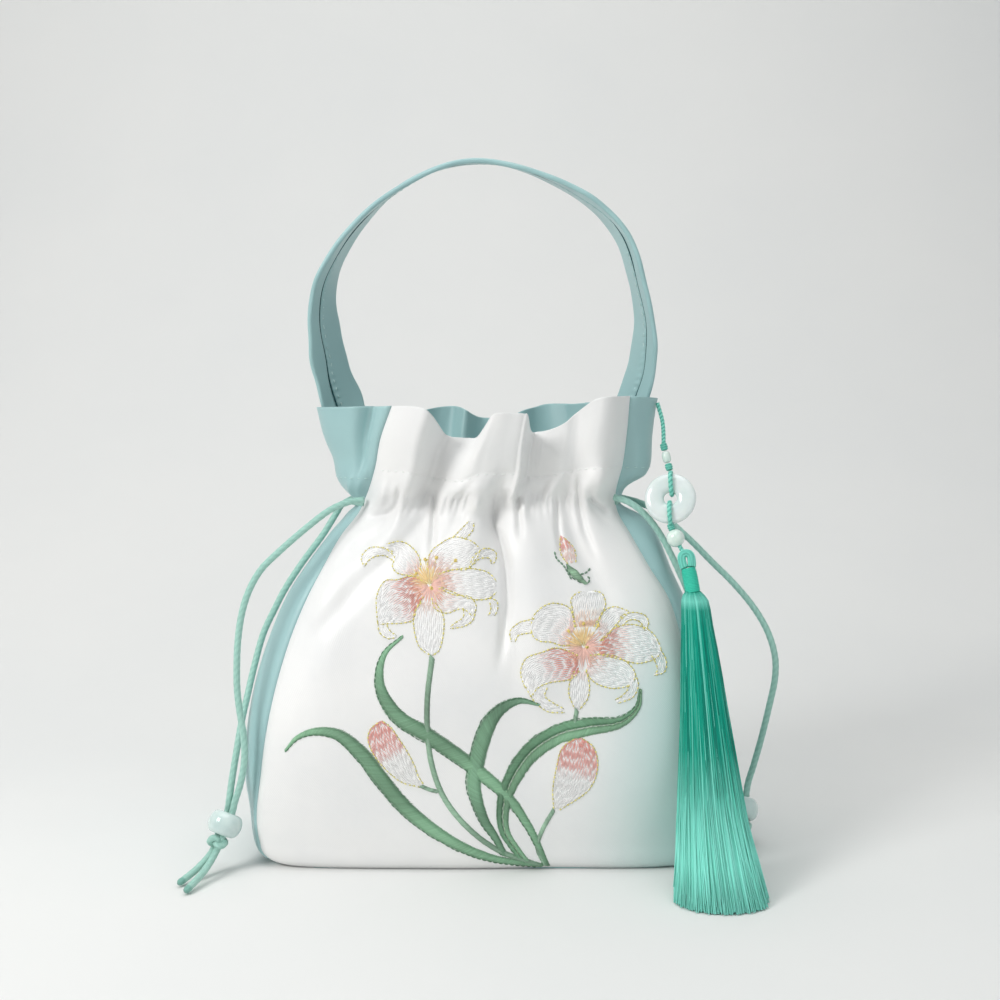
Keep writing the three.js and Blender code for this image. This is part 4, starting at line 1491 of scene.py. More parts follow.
@dataclass
class DiscPendant:
    """Thread, beads and jade disc that hang from the frill's corner, above the tassel."""

    HOLLOW, RIDGE = 0.72, 0.3

    start: Place = (78.65, -6.5, 204.8)
    bend: Place = (80.9, -8.5, 196)
    upper_knot: Place = (81.2, -12, 185.1)
    tube_bead: Place = (82.2, -13.4, 180.6)
    middle_knot: Place = (83.2, -14.8, 176.2)
    disc: Place = (83.4, -20, 162.4)
    lower_knot: Place = (83.4, -24.4, 150)
    round_bead: Place = (85.1, -26.3, 145.3)
    cap: Place = (89.6, -30.2, 136.6)
    disc_radius: float = 11.5
    disc_hole: float = 2.9
    disc_thickness: float = 5.0
    disc_turn: float = -0.2
    bead_radius: float = 4.0

    @staticmethod
    def toward(start: Sequence[float], end: Sequence[float]) -> np.ndarray:
        """Way from one place to another."""
        return unit(np.array(end, dtype=float) - np.array(start, dtype=float))

    @classmethod
    def cord(cls, points: Rows, radius: float, pitch: float) -> bmesh.types.BMesh:
        """Two-ply silk cord through some places.

        Args:
            points: the places.
            radius: its radius.
            pitch: length of one turn of the plies.

        Returns:
            The tube.
        """
        route = Route(points, 0.35)

        def plied(angle: np.ndarray, walked: np.ndarray) -> np.ndarray:
            """Radius with two plies."""
            return radius * (cls.HOLLOW + cls.RIDGE * np.abs(np.cos(angle - 2 * math.pi * walked / pitch)))

        bm = Sculptor.tube(route, 14, plied)
        # painted shade: darker where the skin sinks between the two plies
        near = np.linalg.norm(Sculptor.places(bm)[:, None] - route.points, axis=2).min(axis=1)
        Sculptor.paint(bm, np.clip((near / radius - cls.HOLLOW) / cls.RIDGE, 0, 1))
        return bm

    def small_knot(self, name: str, centre: Sequence[float], way: np.ndarray, palette: Palette) -> None:
        """Wrapped knot of three turns.

        Args:
            name: CAD node that it stands for.
            centre: its place.
            way: the thread's line.
            palette: the finishes.
        """
        turns = np.linspace(0, 1, 31)
        profile = [(0.0, -1.6)]
        profile += [(1.1 + 0.4 * abs(math.sin(3 * math.pi * t)) + 0.3 * math.sin(math.pi * t), -1.6 + 3.2 * t)
                    for t in turns]
        profile.append((0.0, 1.6))
        bm = Sculptor.turned(profile, 20, centre, way)
        # painted shade: darker in the grooves between the wrapped turns
        out = np.linalg.norm(np.cross(Sculptor.places(bm) - np.array(centre), way), axis=1)
        Sculptor.paint(bm, 0.2 + 0.5 * np.clip(out - 1.1, 0, 1))
        add_piece(name + "_wrap", bm, palette.silk_cord, [name])

    def build(self, palette: Palette) -> None:
        """Make every piece from the thread to the round bead.

        Args:
            palette: the finishes.
        """
        hang = self.toward(self.bend, self.upper_knot)
        thread = self.cord([self.start, self.bend, np.array(self.upper_knot) - hang * 1.2], 1.0, 3.4)
        add_piece("pendant_hanging_thread", thread, palette.silk_cord, ["pendant_thread"])
        line = self.toward(self.upper_knot, self.middle_knot)
        self.small_knot("pendant_upper_knot", self.upper_knot, line, palette)
        self.small_knot("pendant_middle_knot", self.middle_knot, line, palette)
        down = self.toward(self.lower_knot, self.round_bead)
        self.small_knot("pendant_lower_knot", self.lower_knot, down, palette)
        capsule = [(0.5, -2.6), (1.25, -2.45), (1.75, -1.9), (1.9, -1.0), (1.95, 0.0), (1.9, 1.0),
                   (1.75, 1.9), (1.25, 2.45), (0.5, 2.6)]
        tube = Sculptor.turned(capsule, 32, self.tube_bead, line, ring=True)
        add_piece("jade_tube_bead", tube, palette.jade, ["pendant_tube_bead"])
        self._disc(palette)
        turn = np.linspace(-math.pi / 2 + 0.2, math.pi / 2 - 0.2, 23)
        ball = [(self.bead_radius * math.cos(t), self.bead_radius * math.sin(t)) for t in turn]
        bead = Sculptor.turned(ball, 40, self.round_bead, down, ring=True)
        add_piece("jade_round_bead", bead, palette.jade, ["pendant_round_bead"])
        lead = self.toward(self.round_bead, self.cap)
        first = np.array(self.round_bead) + lead * (self.bead_radius - 0.4)
        link = self.cord([first, first + lead * 1.0, first + lead * 2.2, first + lead * 3.2], 1.0, 3.0)
        add_piece("tassel_link_cord", link, palette.silk_cord, ["tassel_link"])

    def _disc(self, palette: Palette) -> None:
        """Jade disc, and the cord looped through its hole above and below."""
        centre = np.array(self.disc)
        down = self.toward(self.middle_knot, self.lower_knot)
        face = np.array([math.sin(self.disc_turn), -math.cos(self.disc_turn), 0.0])
        face = unit(face - down * np.dot(face, down))
        middle, half = (self.disc_radius + self.disc_hole) / 2, (self.disc_radius - self.disc_hole) / 2
        turn = np.linspace(0, 2 * math.pi, 41)[:-1]
        profile = [(middle + half * math.copysign(abs(math.cos(t)) ** 0.8, math.cos(t)),
                    self.disc_thickness / 2 * math.copysign(abs(math.sin(t)) ** 0.7, math.sin(t)))
                   for t in turn]
        disc = Sculptor.turned(profile, 72, centre, face, ring=True)
        add_piece("jade_disc", disc, palette.disc, ["pendant_disc"])
        half_loop = [(1.0, 12.0), (3.7, 9.3), (3.7, 6.0), (2.6, 3.3), (0.0, 1.75)]
        loop = half_loop + [(-out, along) for out, along in half_loop[-2::-1]]
        for word, sign in (("upper", -1), ("lower", 1)):
            aside = np.cross(face, down) * (0.7 if sign < 0 else -0.3)
            places = [centre + aside + face * out + down * sign * along for out, along in loop]
            add_piece(f"disc_cord_{word}", self.cord(places, 1.1, 4.2), palette.silk_cord,
                      [f"pendant_loop_{word}"])


@dataclass
class SilkTassel:
    """Silk tassel: a folded head, a wrapped neck and a long skirt that rests on the table."""

    cap: Place = (89.6, -30.2, 136.6)
    neck: Place = (91.2, -33.3, 127.2)
    cap_radius: float = 3.7
    skein: float = 1.6
    cap_height: float = 8.2
    neck_radius: float = 3.2
    neck_length: float = 11.0
    flatness: float = 0.74
    skirt: Rows = (
        (122.8, 92, -35, 3.1), (120.6, 92.4, -35.4, 4.8), (118.4, 92.9, -35.8, 5.7), (112, 93.4, -37, 6.2),
        (95, 94.6, -41, 8.0), (75, 95.8, -46.5, 9.6), (52, 96.7, -55, 11.8), (30, 97.1, -66.5, 14.2),
        (13, 98, -76, 16.7), (0.4, 98.9, -82.5, 18.8),
    )
    heights: Sequence[float] = (122.8, 120.8, 118.9, 115, 108, 98, 86, 72, 57, 42, 28, 14, 0.5)
    strands: int = 1400
    dark: str = "007464"
    middle: str = "00a38a"
    bright: str = "9cf6e6"
    wrap: str = "3cc3a8"
    core: str = "0a6b59"

    def colours(self, deal: np.random.Generator, count: int) -> np.ndarray:
        """Colours dealt to strands, from deep teal to bright mint.

        Args:
            deal: seeded numbers.
            count: how many.

        Returns:
            Linear colours.
        """
        dark, middle, bright = (np.array(tint(code)) for code in (self.dark, self.middle, self.bright))
        share = deal.beta(1.4, 2.6, count)[:, None]
        lower, upper = dark + (middle - dark) * share * 2, middle + (bright - middle) * (share * 2 - 1)
        return np.where(share < 0.5, lower, upper)

    def build(self, palette: Palette) -> None:
        """Make the head, neck and skirt.

        Args:
            palette: the finishes.
        """
        self._head(palette)
        self._neck(palette)
        self._skirt(palette)

    def _head(self, palette: Palette) -> None:
        """Head: a skein folded over the link, both legs going down into the neck."""
        deal = np.random.default_rng(3)
        axis = DiscPendant.toward(self.cap, self.neck)
        side = unit(np.cross(axis, (0.0, 1.0, 0.0)))
        bend = self.cap_radius - self.skein
        over = np.linspace(0, math.pi, 9)
        rise = self.cap_radius - self.cap_height / 2
        leg = [(bend * 0.75, self.cap_height / 2), (bend * 0.95, self.cap_height / 4)]
        flat = np.array([*leg, *zip(bend * np.cos(over), rise - bend * np.sin(over)),
                         *((-out, along) for out, along in leg[::-1])])
        route = Route(np.array(self.cap) + flat[:, :1] * side + flat[:, 1:] * axis, 0.5)
        bm = Sculptor.tube(route, 14, lambda angle, walked: np.full_like(angle, self.skein - 0.25))
        Sculptor.paint(bm, tint(self.dark))
        add_piece("tassel_head_core", bm, palette.silk, ["tassel_cap"])
        turn = np.linspace(0, 2 * math.pi, 27)[:-1, None] + deal.uniform(-0.06, 0.06, (26, 1))
        turn = turn + 0.5 * np.linspace(-1, 1, len(route.points))
        way = np.cos(turn)[..., None] * route.sides + np.sin(turn)[..., None] * route.ups
        line = route.points + way * self.skein * deal.uniform(0.93, 1.05, (26, 1, 1))
        # painted highlight: the head's strands are mixed halfway towards bright mint
        shade = (self.colours(deal, 26) + np.array(tint(self.bright))) / 2
        book = ThreadBook()
        book.lay(line, way, np.array([0.5, 0.45]), shade)
        strands = book.mesh("tassel_head_strands")
        add_piece("tassel_head_strands", strands, palette.silk, ["tassel_cap"])

    def _neck(self, palette: Palette) -> None:
        """Neck wrapped with turns of thread."""
        axis = DiscPendant.toward(self.cap, self.neck)
        half, turns = self.neck_length / 2, 15
        shares = np.linspace(0, 1, turns * 8 + 1)
        ridge = 0.22 * np.abs(np.sin(math.pi * turns * shares)) - 0.35 * np.abs(2 * shares - 1) ** 6
        profile = [(0.0, -half)]
        profile += [(self.neck_radius + r, -half + self.neck_length * s) for r, s in zip(ridge, shares)]
        profile.append((0.0, half))
        bm = Sculptor.turned(profile, 40, self.neck, axis)
        Sculptor.paint(bm, tint(self.wrap))
        add_piece("tassel_neck_wrap", bm, palette.silk, ["tassel_neck"])

    def _skirt(self, palette: Palette) -> None:
        """Skirt of fine strands, an outer and an inner layer, over a darker core."""
        deal = np.random.default_rng(8)
        rows = np.array(self.skirt)
        heights = np.array(self.heights)
        centre = TableCurve(np.column_stack([-rows[:, 0], rows[:, 1:]]))(-heights)
        for word, low, high in (("outer", 0.93, 1.03), ("inner", 0.72, 0.97)):
            book = self._strands(deal, heights, centre, (low, high))
            name = f"tassel_skirt_{word}_strands"
            add_piece(name, book.mesh(name, 0.8), palette.silk, ["tassel_skirt"])
        last = len(heights) - 1

        def surface(around: np.ndarray, along: np.ndarray) -> np.ndarray:
            """Places on the core."""
            row = np.rint(along * last).astype(int)
            out = centre[row, 2] * 0.8
            return np.column_stack([centre[row, 0] + out * np.cos(around * 2 * math.pi),
                                    centre[row, 1] + out * np.sin(around * 2 * math.pi) * self.flatness,
                                    np.maximum(heights[row], 1.2)])

        bm = Sculptor.grid(40, last, surface, closed=True)
        Sculptor.close(bm)
        Sculptor.paint(bm, tint(self.core))
        add_piece("tassel_skirt_core", bm, palette.silk, ["tassel_skirt"])

    def _strands(self, deal: np.random.Generator, heights: np.ndarray, centre: np.ndarray,
                 shell: tuple[float, float]) -> ThreadBook:
        """One layer of the skirt's strands.

        Args:
            deal: seeded numbers.
            heights: height of each place along a strand.
            centre: the skirt's middle and radius at each height.
            shell: shares of the radius that the layer lies between.

        Returns:
            The strands, with a painted highlight at the shoulder, deep in the middle and light at the ends.
        """
        count = self.strands
        share = (heights[0] - heights) / (heights[0] - heights[-1])
        turn = deal.uniform(0, 2 * math.pi, count)
        angle = turn[:, None] + deal.normal(0, 0.14, (count, 1)) * share
        loose = deal.normal(0, 0.03, (count, 1)) * share
        wave = 0.3 * np.sin(share * deal.uniform(8, 22, (count, 1)) + deal.uniform(0, 6, (count, 1)))
        reach = (deal.uniform(*shell, (count, 1)) + loose) * centre[:, 2] + wave * share
        line = np.stack([
            centre[:, 0] + reach * np.cos(angle),
            centre[:, 1] + reach * np.sin(angle) * self.flatness,
            np.broadcast_to(heights, reach.shape),
        ], axis=-1)
        end = 1 - 0.05 * deal.random(count) ** 3
        start = line[:, :1]
        line = np.where(share[None, :, None] > 0.75, start + (line - start) * end[:, None, None], line)
        line[..., 2] = np.maximum(line[..., 2], 0.35)
        way = np.stack([np.cos(angle), np.sin(angle), np.zeros_like(angle)], axis=-1)
        # painted highlight: a bright band where the strands turn down at the shoulder; the ends are lighter
        # too
        light = (0.82 * ease(share, 0.5, 0.92) + 0.5 * bell(share - 0.03, 0.022))[None, :, None]
        colour = self.colours(deal, count)[:, None] * (1 - light) + np.array(tint(self.bright)) * light
        book = ThreadBook()
        book.lay(line, way, np.array([0.52, 0.46]), colour)
        return book


CURL = "fbfafb"
LEAF, LEAF_SHADE = "7fa888", "567f61"
STEM, STEM_SHADE = "8fae96", "6d8d77"


@dataclass(frozen=True)
class Petal:
    """One stitched shape between two edges that run from its root to its tip."""

    left: Rows
    right: Rows
    root: str = "efc9c0"
    tip: str = "fdfcfb"
    blush: tuple[float, float] = (7.0, 17.0)


@dataclass(frozen=True)
class Leaf:
    """A leaf or stem of slanted satin stitches along a line."""

    line: Rows
    width: float
    colour: str
    shade: str
    halves: bool = False


class LilyEmbroidery:
    """Lilies with their leaves and buds, stitched on the front panel."""

    FLOWERS = (
        Petal(((-28, 132), (-28.5, 137), (-32, 141.5), (-37.5, 144), (-43.5, 143)),
              ((-31.5, 129.5), (-38.5, 131), (-40.5, 134), (-39.5, 137), (-43.5, 141))),
        Petal(((-40.5, 139.5), (-45.5, 141.5), (-51, 141), (-54.5, 137), (-53, 133)),
              ((-40.5, 136), (-44.5, 138), (-48.5, 137.5), (-51.5, 135.5), (-53, 133)), CURL),
        Petal(((-25, 132), (-24, 139), (-18.5, 144), (-12.5, 146.5), (-5, 144.5), (-2, 141.5)),
              ((-20, 130.5), (-14.5, 132.5), (-7, 133), (-4.5, 136), (-2.5, 139), (-2, 141.5))),
        Petal(((-13.5, 146.5), (-10, 150), (-6.5, 153.5)),
              ((-8.5, 145.5), (-5, 149.5), (-4.5, 153)), CURL),
        Petal(((-6.5, 133.5), (-4.5, 138.5), (0.5, 141.5), (5, 139.5), (5, 136), (3, 134.5)),
              ((-4.5, 135), (-2.5, 137), (0.5, 137.5), (2.5, 137), (3, 135.5), (3, 134.5)), CURL),
        Petal(((-20, 130.5), (-11, 133), (-4, 133), (2, 131), (5.5, 127)),
              ((-19, 125), (-13.5, 123), (-4.5, 120), (2.5, 120.5), (5.5, 123))),
        Petal(((2, 120.5), (5.5, 119), (6, 116), (4.5, 112.5)),
              ((2.5, 118.5), (3, 116.5), (2.5, 114), (1.5, 113)), CURL),
        Petal(((-20, 124.5), (-13.5, 122), (-6, 121), (-3.5, 117.5), (-4, 114)),
              ((-23, 120.5), (-21.5, 116), (-16.5, 114), (-9.5, 116), (-5, 113))),
        Petal(((-3.5, 116), (-5, 111), (-9, 108.5), (-15, 107.5)),
              ((-9, 116), (-9, 112.5), (-12.5, 110), (-15, 108)), CURL),
        Petal(((-27.5, 118.5), (-30.5, 114), (-30.5, 107), (-28, 99.5), (-23, 96)),
              ((-21.5, 118.5), (-18, 113.5), (-17.5, 107), (-19.5, 98.5), (-22.5, 96)),
              "f1d3c8", blush=(6, 16)),
        Petal(((-27, 127.5), (-32, 129.5), (-38.5, 128), (-43.5, 127.5), (-47, 121.5), (-47, 114.5),
               (-46.5, 109)),
              ((-26.5, 121), (-29.5, 116), (-31, 111), (-34, 110), (-38, 109.5), (-42, 109.5), (-45.5, 109)),
              "e39b90", blush=(11, 21)),
        Petal(((-46.5, 110), (-45.5, 105.5), (-41.5, 103), (-38, 104)),
              ((-42.5, 109), (-41.5, 107), (-40, 105.5), (-38, 104.5)), CURL),
        Petal(((39.5, 108), (37.5, 116), (30.5, 118.5), (25.5, 117), (21.5, 113), (20.5, 109)),
              ((37.5, 100.5), (33.5, 100.5), (29, 102), (24.5, 102.5), (21.5, 104.5), (20.5, 108))),
        Petal(((22, 112), (15.5, 110), (11.5, 106), (12, 101.5)),
              ((21, 106), (18, 105.5), (15, 104.5), (13.5, 101.5)), CURL),
        Petal(((40, 108), (38.5, 116.5), (38, 119.5), (40, 122), (43, 123)),
              ((48, 108), (51, 112.5), (53.5, 117), (52, 121.5), (47.5, 123)), "eec19f", blush=(8, 19)),
        Petal(((49, 107), (52.5, 114), (57.5, 116), (64, 114)),
              ((51.5, 102), (54.5, 104.5), (59, 109.5), (63.5, 113.5))),
        Petal(((58.5, 107.5), (60.5, 112), (65, 113.5), (71, 112), (72.5, 108.5), (71, 105.5)),
              ((61, 108), (63, 110), (66, 110.5), (69, 109), (70, 107), (71, 105.5)), CURL),
        Petal(((50.5, 102), (57.5, 107), (65, 108.5), (73, 105.5), (77, 100), (78, 96.5)),
              ((49.5, 96.5), (57, 94.5), (66.5, 92), (71.5, 92.5), (75, 93.5), (77.5, 95.5)),
              "e8a69a", blush=(11, 25)),
        Petal(((77.5, 97.5), (80, 93), (79.5, 88), (74.5, 86.5)),
              ((73.5, 95), (75.5, 91.5), (76, 88.5), (74.5, 87)), CURL),
        Petal(((46, 96), (54.5, 96), (62.5, 92.5), (66, 88), (65.5, 84)),
              ((44.5, 90), (46, 86.5), (49.5, 83.5), (56.5, 81.5), (64, 82.5))),
        Petal(((66, 88), (67.5, 82.5), (65, 77.5), (58, 75)),
              ((63.5, 83), (62.5, 80.5), (60, 78), (57, 76.5)), CURL),
        Petal(((39.5, 89.5), (37.5, 85), (37, 79.5), (39.5, 73)),
              ((44.5, 89.5), (46, 83), (45, 77), (41.5, 72.5)),
              "f0cbc1", blush=(8, 17)),
        Petal(((41, 96), (35.5, 98.5), (30.5, 99.5), (26, 98), (18.5, 95), (16, 89), (18, 82)),
              ((41.5, 89.5), (39.5, 87), (36.5, 85.5), (31.5, 85), (28, 84.5), (23.5, 82.5), (20.5, 78.5)),
              "e1968c", blush=(12, 23)),
        Petal(((18, 83), (22, 76.5), (28, 72), (35.5, 71.5)),
              ((27.5, 82.5), (26.5, 79), (29, 76.5), (35, 73)), CURL),
    )
    BUDS = (
        Petal(((-28, 38.5), (-35.5, 40.5), (-42, 45.5), (-48, 53), (-50.5, 59.5), (-49.5, 64), (-45.5, 67.5)),
              ((-26.5, 40), (-28.5, 43), (-30.5, 48.5), (-33.5, 54.5), (-37, 60), (-40.5, 65), (-44.5, 68)),
              "f4f3f1", "eba49b"),
        Petal(((30.5, 29), (30, 37.5), (31.5, 47), (34, 56), (40, 60.5)),
              ((33, 28.5), (45.5, 37.5), (49.5, 47), (48, 56), (42.5, 60.5)), "f6f4f3", "eca89f"),
        Petal(((37, 134.5), (34, 138.5), (33.5, 142.5), (34, 146.5)),
              ((40.5, 135), (40.5, 139), (39, 142), (35, 146)),
              "f2d6cd", "ecb0a8"),
    )
    LEAVES = (
        Leaf(((-87, 54), (-81.5, 60), (-73, 63), (-63, 61.5), (-53, 53), (-44.5, 41.5), (-33.5, 28.5),
              (-16.5, 15.5), (1.5, 7), (25.5, 2)), 7.0, LEAF, LEAF_SHADE),
        Leaf(((-35.5, 104), (-43, 97), (-45.5, 88), (-44, 79.5), (-37, 69.5), (-23.5, 61), (-5, 47.5),
              (10.5, 34), (20.5, 19), (27.5, 2.5)), 7.0, LEAF, LEAF_SHADE),
        Leaf(((24, 75), (15.5, 76.5), (7, 72.5), (1, 64), (-3, 50.5), (-4.5, 39), (-0.5, 25), (5.5, 15),
              (9, 7.5)), 7.4, "789f82", LEAF_SHADE),
        Leaf(((68.5, 81), (67, 73), (59.5, 67), (45, 65), (32.5, 62), (20.5, 54), (12, 41.5), (8.5, 30),
              (9, 19), (14.5, 9.5), (18.5, 4)), 8.8, "7da585", "6c9576", True),
        Leaf(((-22.5, 95.5), (-24.5, 78.5), (-24.5, 62.5), (-22.5, 47.5), (-17.5, 34), (-8, 21.5),
              (5.5, 10.5), (24, 2.5)), 2.8, STEM, STEM_SHADE),
        Leaf(((-27.5, 39), (-24, 37.5), (-20, 36.5)), 2.0, STEM, STEM_SHADE),
        Leaf(((40.5, 72.5), (40, 70), (39.5, 66)), 2.2, STEM, STEM_SHADE),
        Leaf(((30.5, 28.5), (25.5, 19), (23.5, 11), (27, 2.5)), 2.2, STEM, STEM_SHADE),
        Leaf(((36.5, 134.5), (39, 131.5), (42, 128.3), (45, 126)), 3.6, "8fb094", "5d7d69"),
    )
    # the gold edge's small dots are painted shade at the needle holes
    GOLD_THREAD, GOLD, GOLD_DOTS = (0.66, 0.42), "e0d67c", "b3ae74"
    FILL_THREAD, LEAF_THREAD, HEART = (0.42, 0.24), (0.46, 0.34), "f1dc92"
    VEIN_THREAD, VEIN, RIM_THREAD = (0.45, 0.5), "a3c2a0", (0.45, 0.4)
    SPOKES, SPOKE_THREAD, BLUSH, WARM = 84, (0.44, 0.2), "efc3b6", "eccd96"
    STAMEN_THREAD, STAMEN, ANTHER_THREAD, ANTHER = (0.4, 0.25), "ecdfae", (0.5, 0.4), "e9d27a"
    HOOK_THREAD, HOOK, DOT_THREAD, SUNK = (0.9, 0.5), "74907c", (0.42, 0.3), -0.05
    STEM_WIDTH, SLANT_SIDE, SLANT_AHEAD = 3.0, 0.78, 0.62
    FLOWER_CENTRES = ((-24, 126), (43.5, 100))
    ANTHERS = (((-26, 136.5), (-21, 137.5), (-30, 130.5), (-23, 124.5), (-12.5, 136.5)),
               ((37, 106.5), (43.5, 109.5), (50, 108.5), (45, 99.5)))
    HOOKS = (((31, 140), (32, 137), (35, 134), (38.5, 128)),
             ((44, 126), (46, 126.5), (46.5, 128), (45.5, 129)),
             ((42.5, 130), (45, 130.5), (46.5, 131.5), (47, 132.5)))

    def __init__(self, panel: ClothPanel) -> None:
        """Frame the panel for stitching.

        Args:
            panel: the front panel.
        """
        self.panel = panel
        self.deal = np.random.default_rng(17)
        self.fill, self.green, self.edges = ThreadBook(), ThreadBook(), ThreadBook()

    def stitch(self, book: ThreadBook, flat: np.ndarray, size: tuple[float, float], colour: np.ndarray,
               lift: float) -> None:
        """Lay stitches on the cloth.

        Args:
            book: the book that they go in.
            flat: stitches by four places by two, across and up.
            size: width and height of the thread.
            colour: colour of each stitch.
            lift: rise at the middle.
        """
        rise = np.array([self.SUNK, lift, lift, self.SUNK])
        lifts = np.broadcast_to(rise, flat.shape[:2])
        places, ways = self.panel.spot(flat[..., 0].ravel(), flat[..., 1].ravel(), lifts.ravel())
        shape = (*flat.shape[:2], 3)
        book.lay(places.reshape(shape), ways.reshape(shape), np.array(size), colour)

    def vary(self, code: str, count: int, amount: float = 0.09) -> np.ndarray:
        """A thread colour, a little different in each stitch."""
        tone = 1 + self.deal.normal(0, amount, (count, 1))
        tones = np.concatenate([tone, tone, tone, np.ones_like(tone)], axis=1)
        return np.clip(np.array(tint(code)) * tones, 0, 1)

    def running(self, line: Rows, length: float, gap: float, size: tuple[float, float], code: str,
                hole_shade: str | None = None) -> None:
        """Running stitches along a line.

        Args:
            line: places across and up.
            length: length of a stitch.
            gap: space between stitches.
            size: width and height of the thread.
            code: colour.
            hole_shade: colour of the small dots in the spaces, painted shade at the needle holes.
        """
        route = Route(line, 0.25)
        count = max(1, int(route.length // (length + gap)))
        begin = np.arange(count) * route.length / count
        shares = np.linspace(0, 1, 4) * length
        walked = np.linspace(0, route.length, len(route.points))

        def along(at: np.ndarray) -> np.ndarray:
            """Places at lengths walked."""
            return np.stack([np.interp(at, walked, route.points[:, i]) for i in range(2)], axis=-1)

        self.stitch(self.edges, along(begin[:, None] + shares), size, self.vary(code, count), 0.22)
        # painted shade: small darker dots in the gaps stand for the shade in the needle holes
        if hole_shade:
            spot = begin[:, None] + length + gap * np.linspace(0.2, 0.8, 4)
            self.stitch(self.edges, along(spot), self.DOT_THREAD, self.vary(hole_shade, count), 0.12)

    def petal_colour(self, petal: Petal, place: np.ndarray, share: float) -> np.ndarray:
        """Thread colour in a petal or bud.

        Args:
            petal: the petal.
            place: where the stitch lies, across and up.
            share: share of the way from the root to the tip.

        Returns:
            Linear colour: a petal blushes towards the flower's heart, a bud towards its tip.
        """
        root, tip = np.array(tint(petal.root)), np.array(tint(petal.tip))
        if petal in self.BUDS:
            mix = float(ease(share, 0.44, 0.62))
            return root * (1 - mix) + tip * mix
        far = min(math.dist(place, centre) for centre in self.FLOWER_CENTRES)
        mix = float(ease(far, *petal.blush))
        colour = root * (1 - mix) + tip * mix
        heart = float(bell(far, 5.0))
        return colour * (1 - heart) + np.array(tint(self.HEART)) * heart

    def petal(self, petal: Petal) -> None:
        """Fill a petal with long stitches from root to tip, and edge it.

        Args:
            petal: its edges and colours.
        """
        left, right = (Route(edge, 0.2).points for edge in (petal.left, petal.right))
        shares = np.linspace(0, 1, 60)

        def resample(points: np.ndarray) -> np.ndarray:
            """Sixty even places on an edge."""
            at = np.linspace(0, 1, len(points))
            return np.column_stack([np.interp(shares, at, points[:, i]) for i in range(2)])

        left, right = resample(left), resample(right)
        wide = np.linalg.norm(left - right, axis=1)
        bud = petal in self.BUDS
        lines = max(2, round(float(wide.max()) / (0.6 if bud else 0.9)))
        length = float(np.linalg.norm(np.diff((left + right) / 2, axis=0), axis=1).sum())
        steps = max(1, round(length / 4.2))
        flats, colours = [], []
        for k in range(lines):
            across = (k + 0.5) / lines
            line = left * (1 - across) + right * across
            shift = self.deal.uniform(0, 1)
            for step in range(-1, steps):
                start, end = (step + shift) / steps, (step + shift + 0.93) / steps
                start, end = max(start, 0.0), min(end, 1.0)
                middle = (start + end) / 2
                local = np.interp(middle, shares, wide) / lines
                if end - start < 0.25 / steps or (local < 0.42 and k % 2) or (local < 0.22 and k % 4):
                    continue
                at = np.linspace(start, end, 4)
                flats.append(np.column_stack([np.interp(at, shares, line[:, i]) for i in range(2)]))
                place = flats[-1].mean(axis=0)
                colours.append(self.petal_colour(petal, place, middle) * (1 + self.deal.normal(0, 0.04)))
        self.stitch(self.fill, np.array(flats), self.FILL_THREAD, np.clip(np.array(colours), 0, 1), 0.16)
        for edge in (petal.left, petal.right):
            self.running(edge, 1.15, 0.75, self.GOLD_THREAD, self.GOLD, self.GOLD_DOTS)

    def leaf(self, leaf: Leaf) -> None:
        """Cover a leaf with slanted satin stitches.

        Args:
            leaf: its line, width and colours.
        """
        route = Route(leaf.line, 0.36)
        points = route.points
        ahead = unit(np.gradient(points, axis=0))
        side = np.column_stack([-ahead[:, 1], ahead[:, 0]])
        share = np.linspace(0, 1, len(points))
        stem = leaf.width < self.STEM_WIDTH
        taper = (0.12 + 0.88 * ease(share, -0.05, 0.34)) * (1 - 0.6 * ease(share, 0.45, 1.0))
        half = leaf.width / 2 * (np.full_like(share, 0.9) if stem else taper)
        half *= 1 + self.deal.normal(0, 0.04, len(points))
        # painted highlight: the stitches lighten and darken along the leaf, as satin stitches do where they
        # catch the light
        painted_light = 1 + 0.2 * np.sin(share * 9.0 + self.deal.uniform(0, 6)) + 0.1 * np.sin(share * 23.0)
        lean, lead = side * self.SLANT_SIDE, ahead * self.SLANT_AHEAD
        spans = ((-1.0, 1.0, leaf.colour),)
        if leaf.halves:
            spans = ((-1.0, -0.02, leaf.shade), (0.02, 1.0, leaf.colour))
        for low, high, code in spans:
            reach = np.linspace(low, high, 4)
            way = unit(lean + lead if high > 0.5 else lean - lead)
            aside = reach[None, :, None] * half[:, None, None] * way[:, None] / self.SLANT_SIDE
            flat = points[:, None] + aside
            colour = self.vary(code, len(points), 0.07)
            colour[:, :3] *= painted_light[:, None]
            self.stitch(self.green, flat, self.LEAF_THREAD, colour, 0.36)
        if leaf.halves:
            sway = points[::5] + side[::5] * (0.35 * (-1.0) ** np.arange(len(points[::5])))[:, None]
            self.running(sway, 1.5, 0.5, self.VEIN_THREAD, self.VEIN)
        # painted shade: a darker green running line along one edge of each leaf
        if not stem:
            edge = points - side * (half * 0.98)[:, None]
            self.running(edge[::6], 2.2, 0.3, self.RIM_THREAD, leaf.shade)

